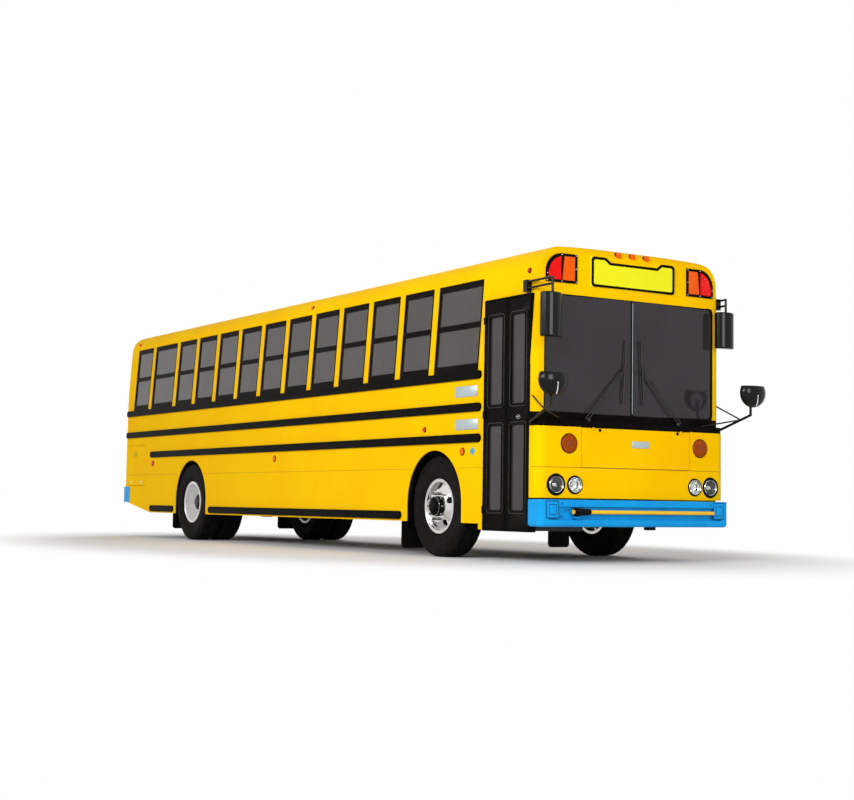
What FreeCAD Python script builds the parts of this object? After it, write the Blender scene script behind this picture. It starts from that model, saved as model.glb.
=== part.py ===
"""Flat-fronted, rear-engined school bus as an assembly of separate pieces. Millimetres.

The frame: +X forward, +Y to the bus's left, +Z up. The origin is on the ground, under the middle of the
bus's whole box, mirrors included. The kerb side, with the entry door, is the right side (-Y).
"""
import FreeCAD, Part
import math
import os
import re

from FreeCAD import Placement, Rotation, Vector

doc = FreeCAD.newDocument("SchoolBus")
sheet = doc.addObject("Spreadsheet::Sheet", "Sizes")

# ---------------------------------------------------------------- driving dimensions
# alias, value (mm or degrees), meaning
SIZES = [
    ("body_width", 2438, "over the side walls"),
    # the datum, under the front wheel arches, is what the places along the bus are measured from
    ("front_axle_set", 90, "datum to the front axle, backwards"),
    ("wheelbase", 6770, "front axle to rear axle"),
    ("rear_overhang", 2720, "rear axle to the body's rear face"),
    ("nose_reach", 1885, "datum to the middle of the nose"),
    ("nose_bow", 40, "how far the nose bulges past its corners"),
    ("screen_reach", 1800, "datum to the middle of the windshield face"),
    ("screen_bow", 25, "how far the windshield face bulges past its corners"),
    ("corner_radius", 110, "front corners in plan"),
    ("tail_radius", 60, "rear corners in plan"),
    ("brow_radius", 150, "front edge of the roof"),
    ("tail_brow_radius", 110, "rear edge of the roof"),
    ("wall", 45, "thickness of walls, roof and doors"),
    ("skirt_z", 375, "lower edge of the side walls"),
    ("belt_z", 1965, "foot of the windows"),
    ("eave_drop", 270, "roof crown to the top of the windows"),
    ("lean", 65, "how far the side walls lean in over the window height"),
    ("crown_rise", 50, "roof crown over the height at which wall and roof lines would meet"),
    ("cove_radius", 260, "round edge between side wall and roof"),
    ("roof_z", 3200, "crown of the roof"),
    ("floor_z", 1195, "top of the cabin floor"),
    ("floor_plate", 40, "cabin floor thickness"),
    ("seam_gap", 5, "gap around doors and lids"),
    ("panel_gap", 0.3, "gap between fixed panels and what they seat on"),
    # window row, from the entry door backwards
    ("window_front", 760, "datum to the front edge of the first window"),
    ("window_wide", 897, "first window"),
    ("window_row_end", 292, "last window to the body's rear face"),
    ("window_exit", 875, "push-out window near the rear"),
    ("post_width", 103, "yellow post between two windows"),
    ("window_count", 10, "ordinary windows between the first and the push-out one"),
    ("sash_bar", 32, "width of the black sash frame"),
    ("sash_depth", 30, "depth of the black sash frame"),
    ("sash_sill", 78, "height of the sash's lower bar"),
    ("sash_head", 68, "height of the sash's upper bar"),
    ("sash_middle_drop", 500, "top of the windows to the foot of the bar between the panes"),
    ("sash_set_in", 6, "sash behind the face of the wall"),
    ("sash_middle", 58, "height of that bar"),
    ("glass", 6, "pane thickness"),
    ("pane_gap", 0.3, "pane to its frame"),
    # rub rails: height of the lower edge above ground
    ("rail_height", 90, "face height of a rub rail"),
    ("rail_depth", 22, "how far a rub rail stands out"),
    ("belt_rail_z", 1874, "window-line rail"),
    ("seat_rail_z", 1535, "seat-line rail"),
    ("floor_rail_z", 1214, "floor-line rail"),
    ("skirt_rail_z", 395, "skirt rail"),
    ("rail_end", 52, "rail end to the door frame"),
    # wheels
    ("tyre_radius", 545, ""),
    ("tyre_width", 280, ""),
    ("rim_radius", 286, "bead seat"),
    ("rim_flange", 297, "outer lip of the rim"),
    ("rim_width", 230, ""),
    ("disc_flat", 170, "radius of a wheel disc's flat middle"),
    ("disc_plate", 22, ""),
    ("front_disc_set", 118, "inner face of a front disc from the tyre's middle, outwards"),
    ("front_disc_drop", 62, "how far a front disc slopes back to the rim"),
    ("rear_disc_drop", 50, "how far a rear disc slopes to the rim"),
    ("hand_hole_radius", 36, ""),
    ("hand_hole_ring", 220, ""),
    ("hand_holes", 5, ""),
    ("hub_stand", 40, "hub past the disc"),
    ("hub_cap", 45, "closed end of a hub"),
    ("track_half", 1032, "bus centreline to the middle of a front tyre"),
    ("rear_track_half", 1072, "bus centreline to the middle of an outer rear tyre"),
    ("dual_spacing", 330, "middle to middle of twin tyres"),
    ("hub_radius", 105, ""),
    ("axle_bore", 45, "radius of the spindle and axle ends"),
    ("bore_gap", 0.05, "radial running clearance"),
    ("arch_radius", 575, "wheel arch in the side wall"),
    ("arch_centre_z", 580, ""),
    ("front_liner_radius", 650, "inner face of the front wheel housings"),
    ("rear_liner_radius", 592, "inner face of the rear wheel housings"),
    ("liner_plate", 8, ""),
    ("liner_inner_y", 575, "wheel housings end here, towards the frame"),
    ("liner_drop", 20, "middle of the wheel housings under the axle"),
    ("flap_plate", 20, "mud flaps"),
    ("flap_corner", 45, ""),
    ("front_flap_set", 770, "datum to the flaps behind it"),
    ("front_flap_foot_z", 70, ""),
    ("front_flap_inner_y", 860, ""),
    ("rear_flap_set", 790, "rear axle to the flaps behind it"),
    ("rear_flap_foot_z", 148, ""),
    ("rear_flap_inner_y", 560, ""),
    ("kingpin_y", 890, "bus centreline to a kingpin"),
    ("kingpin_radius", 24, ""),
    ("eye_height", 110, "kingpin eye of the front axle beam"),
    # chassis
    ("frame_half", 430, "bus centreline to the outer face of a frame rail"),
    ("frame_rail_width", 80, ""),
    ("frame_rail_height", 230, ""),
    ("frame_top_z", 975, ""),
    ("sill_width", 60, "cross sills under the floor"),
    # gas cylinders
    ("tank_radius", 190, ""),
    ("tank_end_radius", 120, ""),
    ("tank_y", 770, ""),
    ("tank_space", 80, "between two cylinders in line"),
    ("strap_set", 350, "straps from a cylinder's ends"),
    ("strap_width", 70, ""),
    ("strap_plate", 10, ""),
    # entry door
    ("door_rear", 885, "datum to the rear edge of the door leaves"),
    ("door_width", 800, "both leaves with their gap"),
    ("door_foot_z", 322, ""),
    ("door_drop", 539, "roof crown to the top of the door leaves"),
    ("leaf_seal", 16, "gap between the two leaves, which their rubber seals fill"),
    ("door_frame_bar", 18, "door frame around the leaves"),
    ("entry_hinge_set", 195, "outer hinges from the door's ends"),
    ("leaf_thick", 35, ""),
    ("leaf_set_in", 4, "leaf face behind the door frame's face"),
    ("leaf_stile", 72, "sides of a leaf"),
    ("leaf_head", 165, "top of a leaf"),
    ("leaf_foot", 185, "bottom of a leaf"),
    ("leaf_waist_z", 1375, "lower edge of the leaf's middle bar"),
    ("leaf_waist", 210, "height of the leaf's middle bar"),
    # front
    ("nose_foot_z", 645, "lower edge of the nose"),
    ("nose_head_z", 1353, "upper edge of the nose"),
    ("nose_seam_z", 950, "seam across the nose"),
    ("hatch_half", 700, "half width of the front hatch"),
    ("hatch_hinge_y", 570, ""),
    ("hatch_hinge_set", 20, "the hatch hinges reach this far behind the middle of the nose"),
    ("cowl_ledge", 64, "height of the cowl's ledge over the nose"),
    ("cowl_band", 78, "height of the cowl over its ledge"),
    ("screen_drop", 515, "roof crown to the top of the windshield"),
    ("screen_half", 1098, "half width of the windshield"),
    ("cap_split", 1705, "datum to the back edge of the front cap"),
    ("sign_half", 545, "half width of the sign over the windshield"),
    ("sign_drop", 103, "roof crown to the top of the sign"),
    ("sign_height", 310, ""),
    ("sign_notch", 45, "how far the sign's middle is lower than its ends"),
    ("sign_notch_half", 300, ""),
    ("sign_depth", 14, ""),
    ("headlamp_y", 1000, ""),
    ("headlamp_radius", 104, ""),
    ("beam_y", 778, "inner lamp"),
    ("beam_radius", 88, ""),
    ("headlamp_z", 777, ""),
    ("turn_lamp_y", 850, ""),
    ("turn_lamp_z", 1186, ""),
    ("turn_lamp_radius", 96, ""),
    ("lamp_depth", 50, ""),
    ("warning_inner_y", 720, "inner edge of a pair of warning lamps"),
    ("warning_width", 375, ""),
    ("warning_rise", 10, "foot of the warning lamps over the foot of the sign"),
    ("warning_height", 295, ""),
    ("warning_bar", 26, "frame around the warning lamps"),
    ("warning_round", 190, "round outer corner of the warning lamps"),
    ("marker_radius", 22, "clearance and side marker lamps"),
    ("brow_marker_radius", 30, "clearance lamps on the brow"),
    ("marker_stand", 22, "how far they stand out"),
    ("marker_depth", 66, "how far they reach in before they are cut to the body's skin"),
    ("marker_pitch", 185, "middle to middle of the three lamps on the brow"),
    ("front_marker_drop", 60, "roof crown to the lamps on the brow"),
    ("side_marker_drop", 185, "roof crown to the lamps over the windows"),
    ("side_marker_z", 1377, "lamp between the rub rails"),
    ("reflector_radius", 38, "round reflectors under the rub rails"),
    ("reflector_stand", 9, ""),
    ("reflector_z", 1122, ""),
    # bumpers
    ("bumper_foot_z", 362, ""),
    ("bumper_head_z", 631, ""),
    ("bumper_reach", 1925, "datum to the middle of the bumper's face"),
    ("bumper_bow", 22, ""),
    ("bumper_depth", 140, "length of the bumper's ends along the body"),
    ("bumper_plate", 45, ""),
    ("bumper_recess", 30, "depth of the channel along the bumper"),
    ("bumper_lip", 70, "height of the bumper's edges beside the channel"),
    ("bumper_stand", 6, "front bumper's ends outside the side walls"),
    ("bumper_corner", 60, "bumper corners in plan"),
    ("bumper_foot_round", 36, "lower outer edge of the front bumper"),
    ("bumper_head_round", 12, "upper outer edge of the front bumper"),
    ("channel_end", 110, "channel's ends from the sides of the bumper"),
    ("rear_bumper_foot_z", 527, ""),
    ("rear_bumper_head_z", 768, ""),
    ("rear_bumper_wrap", 235, "how far the rear bumper comes round the corner"),
    ("rear_bumper_stand", 45, "how far the rear bumper stands behind the body"),
    # crossing arm
    ("arm_y", 800, "pivot, right of the centreline"),
    ("arm_z", 510, ""),
    ("arm_radius", 20, ""),
    ("arm_length", 1785, "pivot to tip"),
    ("arm_pin_radius", 12, ""),
    ("arm_stand", 12, "pivot in front of the bumper's face"),
    ("arm_hub_height", 92, ""),
    ("arm_ear", 12, "thickness of the pivot's two ears"),
    ("arm_play", 2, "gap between hub and ears"),
    ("arm_hub_radius", 32, ""),
    # rear
    ("tail_seat", 70, "length of the rear cap along the body"),
    ("rear_window_half", 760, ""),
    ("rear_window_rise", 90, "foot of the rear window over the foot of the side windows"),
    ("rear_window_drop", 515, "roof crown to the top of the rear window"),
    ("lid_half", 900, "half width of the engine lid"),
    ("lid_foot_z", 825, ""),
    ("lid_head_z", 1785, ""),
    ("tail_lamp_radius", 90, ""),
    ("tail_lamp_y", 1060, ""),
    ("tail_lamp_z", 1675, "uppermost tail lamp"),
    ("tail_lamp_pitch", 210, ""),
    ("tail_lamp_stand", 28, ""),
    ("side_door_foot_z", 790, "battery door"),
    ("side_door_head_z", 1410, ""),
    ("side_door_length", 830, ""),
    ("exit_door_foot_z", 1157, "emergency door, left side"),
    ("exit_door_margin", 45, "door past its window, each side"),
    ("exit_hinge_set", 180, "hinges from the door's foot and from the windows' foot"),
    # hinges
    ("hinge_radius", 9, "full size hinge"),
    ("hinge_pin", 4, ""),
    ("hinge_knuckle", 60, "length of the moving knuckle"),
    ("hinge_ear", 20, "length of each fixed knuckle"),
    ("hinge_reach", 45, "hinge line to the end of a hinge plate"),
    ("hinge_plate", 6, ""),
    ("hinge_play", 1, "gap between the knuckles of a hinge"),
    ("hinge_clear", 6, "knuckle to the fixed plate"),
    # mirrors: places are measured from the front axle
    ("mirror_rod", 14, "radius of a mirror arm"),
    ("cross_mirror_x", 2195, "crossing mirrors at the lower corners"),
    ("cross_mirror_y", 1290, ""),
    ("cross_mirror_z", 1735, ""),
    ("cross_mirror_half", 168, ""),
    ("cross_mirror_height", 225, ""),
    ("cross_mirror_depth", 90, ""),
    ("cross_mirror_drop", 40, "how far the dome's middle is above the middle of its height"),
    ("mirror_width", 235, "rear-view mirrors at the upper corners"),
    ("mirror_height", 440, "right head"),
    ("left_mirror_height", 390, ""),
    ("mirror_depth", 105, ""),
    ("mirror_bulge", 150, "radius of the round front of a mirror head"),
    ("mirror_edge", 16, "radius of its edges"),
    # wipers
    ("wiper_y", 580, "bus centreline to a wiper's pivot"),
    ("wiper_space", 45, "between the two rods of an arm at the pivot"),
    ("wiper_rod", 5.5, ""),
    # cabin
    ("seat_pitch", 743, ""),
    ("seat_rows", 12, ""),
    ("seat_width", 890, ""),
    ("seat_inner_y", 215, "half of the aisle"),
    ("stop_sign_across", 450, "octagon across its flats"),
    ("stop_sign_plate", 12, ""),
    ("stop_sign_drop", 215, "foot of the windows to the middle of the sign"),
    ("stop_hinge_half", 90, "half height of the sign's hinge"),
    ("stop_barrel_radius", 12, ""),
    ("stop_pin_radius", 5, ""),
]

for row, (alias, value, meaning) in enumerate(SIZES, 1):
    sheet.set(f"A{row}", alias)
    sheet.set(f"B{row}", str(value))
    sheet.setAlias(f"B{row}", alias)
    sheet.set(f"C{row}", meaning)
doc.recompute()

# ---------------------------------------------------------------- places worked out from the sizes
places = doc.addObject("App::VarSet", "Places")
PLACES = [
    # name, expression in sizes and earlier places
    ("half_width", "body_width / 2"),
    ("mirror_front", "cross_mirror_x + cross_mirror_depth"),
    ("tail_back", "front_axle_set + wheelbase + rear_overhang + rear_bumper_stand"),
    ("datum_x", "(tail_back - mirror_front) / 2"),
    ("front_axle_x", "datum_x - front_axle_set"),
    ("rear_axle_x", "front_axle_x - wheelbase"),
    ("axle_z", "tyre_radius"),
    ("body_rear_x", "rear_axle_x - rear_overhang"),
    ("rear_split_x", "body_rear_x + tail_seat"),
    ("nose_x", "datum_x + nose_reach"),
    ("screen_x", "datum_x + screen_reach"),
    ("cap_split_x", "datum_x + cap_split"),
    ("door_rear_x", "datum_x + door_rear"),
    ("door_front_x", "door_rear_x + door_width"),
    ("frame_rear_x", "door_rear_x - door_frame_bar"),
    ("frame_front_x", "door_front_x + door_frame_bar"),
    ("bumper_x", "datum_x + bumper_reach"),
    ("floor_low_z", "floor_z - floor_plate"),
    ("eave_z", "roof_z - eave_drop"),
    ("cove_z", "roof_z - crown_rise"),
    ("sash_middle_z", "eave_z - sash_middle_drop"),
    ("window_front_x", "datum_x + window_front"),
    ("window_rear_x", "body_rear_x + window_row_end"),
    ("window_row", "window_front_x - window_rear_x"),
    ("window_width", "(window_row - window_wide - window_exit - post_width) / (window_count + 1) - post_width"),
    ("door_head_z", "roof_z - door_drop"),
    ("cowl_step_z", "nose_head_z + cowl_ledge"),
    ("cowl_head_z", "cowl_step_z + cowl_band"),
    ("screen_head_z", "roof_z - screen_drop"),
    ("sign_head_z", "roof_z - sign_drop"),
    ("sign_foot_z", "sign_head_z - sign_height"),
    ("warning_foot_z", "sign_foot_z + warning_rise"),
    ("rear_window_foot_z", "belt_z + rear_window_rise"),
    ("rear_window_head_z", "roof_z - rear_window_drop"),
]
FUNCTIONS = {"atan", "cos", "sin", "sqrt", "tan"}
size_names = {alias for alias, value, meaning in SIZES}
place_names = {name for name, expression in PLACES}


def bound(expression, own_places=False):
    """The expression with each name given the object that holds it."""
    def owner(match):
        word = match.group(0)
        if word in size_names:
            return "Sizes." + word
        if word in place_names and not own_places:
            return "Places." + word
        return word
    return re.sub(r"[A-Za-z_]+", owner, str(expression))


for name, expression in PLACES:
    places.addProperty("App::PropertyFloat", name)
    places.setExpression(name, bound(expression, own_places=True))
doc.recompute()


class Values:
    """Sizes and places as plain numbers, for shapes that are built with Part's functions."""


s = Values()
for alias, value, meaning in SIZES:
    setattr(s, alias, float(sheet.get(alias)))
for name, expression in PLACES:
    setattr(s, name, float(getattr(places, name)))

nodes = []


# ---------------------------------------------------------------- helpers
def node(label, thing):
    """Marks a document object as a sub-part and names it."""
    thing.Label = label
    nodes.append(thing)
    return thing


def feature(name, shape, placement=None):
    """A Part::Feature that holds a shape built with Part's own functions."""
    thing = doc.addObject("Part::Feature", name)
    thing.Shape = shape
    if placement is not None:
        thing.Placement = placement
    return thing


def box(name, low, high):
    """A Part::Box between two corners, each a triple of expressions."""
    thing = doc.addObject("Part::Box", name)
    for side, axis, a, b in zip(("Length", "Width", "Height"), "xyz", low, high):
        thing.setExpression(side, bound(f"({b}) - ({a})"))
        thing.setExpression(f"Placement.Base.{axis}", bound(a))
    return thing


def cylinder(name, radius, length, start, direction=Vector(0, 0, 1)):
    """A Part::Cylinder from start, a triple of expressions, along a direction."""
    thing = doc.addObject("Part::Cylinder", name)
    thing.Placement = Placement(Vector(), Rotation(Vector(0, 0, 1), direction))
    thing.setExpression("Radius", bound(radius))
    thing.setExpression("Height", bound(length))
    for axis, a in zip("xyz", start):
        thing.setExpression(f"Placement.Base.{axis}", bound(a))
    return thing


def fuse(name, things):
    thing = doc.addObject("Part::MultiFuse", name)
    thing.Shapes = things
    return thing


def cut(name, base, tool):
    thing = doc.addObject("Part::Cut", name)
    thing.Base = base
    thing.Tool = tool
    return thing


def cut_all(name, base, tools):
    """Base less several tools."""
    tool = tools[0] if len(tools) == 1 else fuse(name + "_tools", tools)
    return cut(name, base, tool)


def common(name, first, second):
    thing = doc.addObject("Part::Common", name)
    thing.Base = first
    thing.Tool = second
    return thing


def group(name, things):
    """Pieces of one node that don't touch."""
    thing = doc.addObject("Part::Compound", name)
    thing.Links = things
    return thing


def solid_box(x0, x1, y0, y1, z0, z1):
    return Part.makeBox(x1 - x0, y1 - y0, z1 - z0, Vector(x0, y0, z0))


def rod(start, end, radius):
    """A round bar from one point to another."""
    a, b = Vector(*start), Vector(*end)
    return Part.makeCylinder(radius, (b - a).Length, a, b - a)


def ball(centre, radius):
    return Part.makeSphere(radius, Vector(*centre))


def bent_rod(points, radius):
    """Round bars along a route, with a ball at each bend."""
    shape = rod(points[0], points[1], radius)
    for a, b in zip(points[1:], points[2:]):
        shape = shape.fuse([ball(a, radius), rod(a, b, radius)])
    return shape.removeSplitter()


def spin(profile, centre, axis=Vector(0, 1, 0)):
    """A closed profile of (radius, along-axis) points turned about the Y axis through centre."""
    wire = Part.makePolygon([Vector(r, y, 0) for r, y in profile + profile[:1]])
    shape = Part.Face(wire).revolve(Vector(), axis, 360)
    shape.translate(Vector(*centre))
    return shape


HINGES = {  # share of the full hinge size, hinge line to the face of the panel
    "entry": (0.7, 10),
    "exit": (1.0, 14),
    "engine": (1.0, 14),
    "battery": (0.55, 8),
    "hatch": (0.45, 6.5),
}


def hinge(kind, place, to_door, out, door_set, post_set, post_reach=None):
    """One hinge: its moving and its fixed half. The sets are how far each sits behind the panel's face."""
    share, stand = HINGES[kind]
    r, pin, plate = share * s.hinge_radius, share * s.hinge_pin, share * s.hinge_plate / 2
    half, ear, reach = share * s.hinge_knuckle / 2, share * s.hinge_ear, share * s.hinge_reach
    end = half + s.hinge_play + ear
    post_reach = post_reach or reach
    # built with the hinge line along Z, the door towards +X and the outside towards +Y
    door = Part.makeCylinder(r, 2 * half, Vector(0, 0, -half))
    door = door.fuse([solid_box(0, reach, -plate, plate, -half, half),
                      solid_box(r + s.hinge_play, reach, -stand - door_set, 0, -half, half)])
    door = door.cut(Part.makeCylinder(pin + s.bore_gap, 2 * half, Vector(0, 0, -half)))
    post = Part.makeCylinder(pin, 2 * end, Vector(0, 0, -end))
    for low in (-end, half + s.hinge_play):
        post = post.fuse([Part.makeCylinder(r, ear, Vector(0, 0, low)),
                          solid_box(-post_reach, 0, -plate, plate, low, low + ear)])
    post = post.fuse(solid_box(-post_reach, -r - s.hinge_clear, -stand - post_set, plate, -end, end))
    across, outwards = Vector(*to_door), Vector(*out)
    line = across.cross(outwards)
    turn = Placement(FreeCAD.Matrix(*across, 0, *outwards, 0, *line, 0, 0, 0, 0, 1).transposed())
    turn.Base = Vector(*place)
    halves = [half_hinge.removeSplitter() for half_hinge in (door, post)]
    for half_hinge in halves:
        half_hinge.Placement = turn
    return halves


# ---------------------------------------------------------------- body hull
def wall_y(z, inset=0):
    """Half width of the body at a height."""
    rise = max(0, z - s.belt_z) / (s.eave_z - s.belt_z)
    return s.half_width - s.lean * rise - inset


def hull(reach_x, bow, inset, foot_z):
    """Solid body outline, shrunk by inset: cross section, plan and side view in common."""
    crown = s.roof_z - inset
    corner_z = s.cove_z - inset
    yb, yc = wall_y(0, inset), wall_y(corner_z, inset)
    right = [Vector(0, -yb, foot_z), Vector(0, -yb, s.belt_z), Vector(0, -yc, corner_z)]
    left = [Vector(0, yc, corner_z), Vector(0, yb, s.belt_z), Vector(0, yb, foot_z)]
    edges = Part.makePolygon(right).Edges
    edges.append(Part.Arc(right[-1], Vector(0, 0, crown), left[0]).toShape())
    edges += Part.makePolygon(left + right[:1]).Edges
    spare = 50
    length = reach_x - s.body_rear_x + 2 * spare
    section = Part.Face(Part.Wire(edges)).extrude(Vector(length, 0, 0))
    section.translate(Vector(s.body_rear_x - spare, 0, 0))
    coves = [e for e in section.Edges if abs(e.Length - length) < 1 and
             abs(e.CenterOfMass.z - corner_z) < 1]
    section = section.makeFillet(s.cove_radius - inset, coves)

    rear_x, front_x, wide = s.body_rear_x + inset, reach_x - inset, s.half_width - inset
    plan_points = [Vector(front_x - bow, wide, 0), Vector(rear_x, wide, 0),
                   Vector(rear_x, -wide, 0), Vector(front_x - bow, -wide, 0)]
    plan_edges = Part.makePolygon(plan_points).Edges
    plan_edges.append(Part.Arc(plan_points[3], Vector(front_x, 0, 0), plan_points[0]).toShape())
    height = s.roof_z + spare
    plan = Part.Face(Part.Wire(plan_edges)).extrude(Vector(0, 0, height))
    for radius, x in ((s.corner_radius, front_x - bow), (s.tail_radius, rear_x)):
        upright = [e for e in plan.Edges if abs(e.Length - height) < 1 and
                   abs(e.CenterOfMass.x - x) < 1]
        plan = plan.makeFillet(max(radius - inset, 5), upright)

    side_y = s.half_width + spare
    side = solid_box(rear_x, front_x, -side_y, side_y, foot_z - spare, crown)
    for radius, x in ((s.brow_radius, front_x), (s.tail_brow_radius, rear_x)):
        brow = [e for e in side.Edges if abs(e.CenterOfMass.x - x) < 1 and
                abs(e.CenterOfMass.z - crown) < 1]
        side = side.makeFillet(radius - inset, brow)
    return section.common(plan).common(side)


def hull_shell(name, reach_x, bow, thick=None, outer_inset=0):
    """The body's skin of a given thickness."""
    inner_inset = s.wall if thick is None else outer_inset + thick
    outer = feature(name + "_outer", hull(reach_x, bow, outer_inset, s.skirt_z))
    inner = feature(name + "_inner", hull(reach_x, bow, inner_inset, s.skirt_z - 10))
    return cut(name, outer, inner)


upper_shell = hull_shell("upper_shell", s.screen_x, s.screen_bow)
lower_shell = hull_shell("lower_shell", s.nose_x, s.nose_bow)


def region(name, shell, low, high):
    """The part of a shell inside a box."""
    return common(name, shell, box(name + "_region", low, high))


# ---------------------------------------------------------------- window row
def window_row():
    """Rear edge and width of each window, from the front backwards."""
    widths = [s.window_wide] + [s.window_width] * int(s.window_count) + [s.window_exit, s.window_width]
    row, front = [], s.window_front_x
    for width in widths:
        row.append((front - width, width))
        front -= width + s.post_width
    return row


windows = window_row()
exit_index = 5
driver_window = (s.door_rear_x + 40, 640)
lean_turn = math.degrees(math.atan2(s.lean, s.eave_z - s.belt_z))
lean_height = math.hypot(s.lean, s.eave_z - s.belt_z)


def lean_placement(side):
    """Sets an upright piece, built with its outer face at y = 0 and its foot at z = 0, into the leaning wall."""
    return Placement(Vector(0, side * s.half_width, s.belt_z), Rotation(Vector(1, 0, 0), side * lean_turn))


def sash(x, width, side):
    """Black frame of one window, with its outer face at y = 0."""
    y0, y1 = sorted((-side * s.sash_set_in, -side * (s.sash_set_in + s.sash_depth)))
    g = s.panel_gap
    tilt = g + (s.sash_set_in + s.sash_depth) * s.lean / (s.eave_z - s.belt_z)
    frame = solid_box(x + g, x + width - g, y0, y1, tilt, lean_height - tilt)
    middle = s.sash_middle_z - s.belt_z
    for low, high in ((s.sash_sill, middle), (middle + s.sash_middle, lean_height - s.sash_head)):
        frame = frame.cut(solid_box(x + s.sash_bar, x + width - s.sash_bar, y0 - 1, y1 + 1, low, high))
    return frame


def panes(x, width, side):
    """The two panes of one window."""
    y0, y1 = sorted((-side * 18, -side * (18 + s.glass)))
    g = s.pane_gap
    middle = s.sash_middle_z - s.belt_z
    return [solid_box(x + s.sash_bar + g, x + width - s.sash_bar - g, y0, y1, low + g, high - g)
            for low, high in ((s.sash_sill, middle), (middle + s.sash_middle, lean_height - s.sash_head))]


def side_windows(side):
    """Windows of one side, without the emergency door's."""
    row = list(windows)
    if side > 0:
        row.pop(exit_index)
        row.append(driver_window)
    return row


frames, glass = [], []
for side in (-1, 1):
    for x, width in side_windows(side):
        shape = sash(x, width, side)
        shape.Placement = lean_placement(side)
        frames.append(shape)
        for pane in panes(x, width, side):
            pane.Placement = lean_placement(side)
            glass.append(pane)
node("window_frames", feature("window_frames", Part.makeCompound(frames)))
rear_pane_x = s.body_rear_x + 12
glass.append(solid_box(rear_pane_x, rear_pane_x + s.glass, -s.rear_window_half + s.panel_gap,
                       s.rear_window_half - s.panel_gap, s.rear_window_foot_z + s.panel_gap,
                       s.rear_window_head_z - s.panel_gap))
node("window_glass", feature("window_glass", Part.makeCompound(glass)))

# ---------------------------------------------------------------- side walls
exit_x, exit_width = windows[exit_index]
exit_low_x = exit_x - s.exit_door_margin
exit_high_x = exit_x + exit_width + s.exit_door_margin


def window_cuts(side):
    tools = []
    for number, (x, width) in enumerate(side_windows(side)):
        y0, y1 = sorted((side * (s.half_width - 200), side * (s.half_width + 50)))
        tools.append(feature("window_cut", solid_box(x, x + width, y0, y1, s.belt_z, s.eave_z)))
    return tools


def arch_cuts(side):
    """Wheel arches: round above, straight down to the skirt."""
    tools = []
    for x in (s.front_axle_x, s.rear_axle_x):
        y0 = min(side * (s.half_width - 200), side * (s.half_width + 100))
        arch = Part.makeCylinder(s.arch_radius, 300, Vector(x, y0, s.arch_centre_z), Vector(0, 1, 0))
        leg = solid_box(x - s.arch_radius, x + s.arch_radius, y0, y0 + 300, 0, s.arch_centre_z)
        tools.append(feature("arch_cut", arch.fuse(leg)))
    return tools


def tail_rise(side):
    """The skirt rises behind the rear wheels towards the bumper."""
    foot, rear = s.rear_axle_x - 1590, s.body_rear_x - 10
    points = [Vector(foot, 0, s.skirt_z - 1), Vector(rear, 0, s.rear_bumper_foot_z + 20),
              Vector(rear, 0, s.skirt_z - 1)]
    wedge = Part.Face(Part.makePolygon(points + points[:1])).extrude(Vector(0, 400, 0))
    wedge.translate(Vector(0, min(side * (s.half_width - 300), side * (s.half_width + 100)), 0))
    return feature("tail_rise", wedge)


side_door_front_x = s.rear_split_x + s.seam_gap + s.side_door_length


def side_wall(label, side, front):
    y_low, y_high = ("-half_width", "-half_width / 2") if side < 0 else ("half_width / 2", "half_width")
    wall = region(label + "_wall", lower_shell, ("rear_split_x", y_low, "skirt_z"), (front, y_high, "belt_z"))
    tools = arch_cuts(side) + [tail_rise(side)]
    if side < 0:
        tools.append(feature("side_door_cut", solid_box(
            s.rear_split_x - 1, side_door_front_x + s.seam_gap, -s.half_width - 50, -s.half_width + 100,
            s.side_door_foot_z - s.seam_gap, s.side_door_head_z + s.seam_gap)))
    else:
        tools.append(feature("exit_cut", solid_box(
            exit_low_x - s.seam_gap, exit_high_x + s.seam_gap, s.half_width - 100, s.half_width + 50,
            s.exit_door_foot_z - s.seam_gap, s.belt_z + 1)))
    return cut_all(label, wall, tools)


def window_wall(label, side, front):
    y_low, y_high = ("-half_width", "-half_width / 2") if side < 0 else ("half_width / 2", "half_width")
    wall = region(label + "_wall", upper_shell, ("rear_split_x", y_low, "belt_z + panel_gap"),
                  (front, y_high, "eave_z"))
    tools = window_cuts(side)
    if side < 0:
        tools.append(feature("door_cut", solid_box(
            s.frame_rear_x, s.frame_front_x, -s.half_width - 50, -s.half_width + 200,
            s.skirt_z, s.door_head_z + s.door_frame_bar)))
    else:
        tools.append(feature("exit_cut_high", solid_box(
            exit_low_x - s.seam_gap, exit_high_x + s.seam_gap, s.half_width - 200, s.half_width + 50,
            s.belt_z, s.eave_z - 12)))
    return cut_all(label, wall, tools)


right_wall = side_wall("side_wall_right", -1, "frame_rear_x")
left_wall = side_wall("side_wall_left", 1, "cap_split_x")
node("window_walls", group("window_walls", [window_wall("window_wall_right", -1, "cap_split_x"),
                                            window_wall("window_wall_left", 1, "cap_split_x")]))

# ---------------------------------------------------------------- roof and front cap
node("roof_shell", region("roof_shell", upper_shell,
                          ("rear_split_x + panel_gap", "-half_width", "eave_z + panel_gap"),
                          ("cap_split_x", "half_width", "roof_z + 1")))

cap = region("front_cap_all", upper_shell, ("cap_split_x + panel_gap", "-half_width - 1", "cowl_head_z"),
             ("screen_x + 1", "half_width + 1", "roof_z + 1"))
screen_cut = box("screen_cut", ("cap_split_x - 1", "-screen_half", "cowl_head_z - 1"),
                 ("screen_x + 1", "screen_half", "screen_head_z"))
cap_hollow = feature("cap_door_clear", solid_box(
    s.cap_split_x - 50, s.frame_front_x, -s.half_width - 50, -s.half_width + 200,
    s.door_foot_z, s.door_head_z + s.door_frame_bar))
node("front_cap", cut_all("front_cap", cap, [screen_cut, cap_hollow]))

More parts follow.
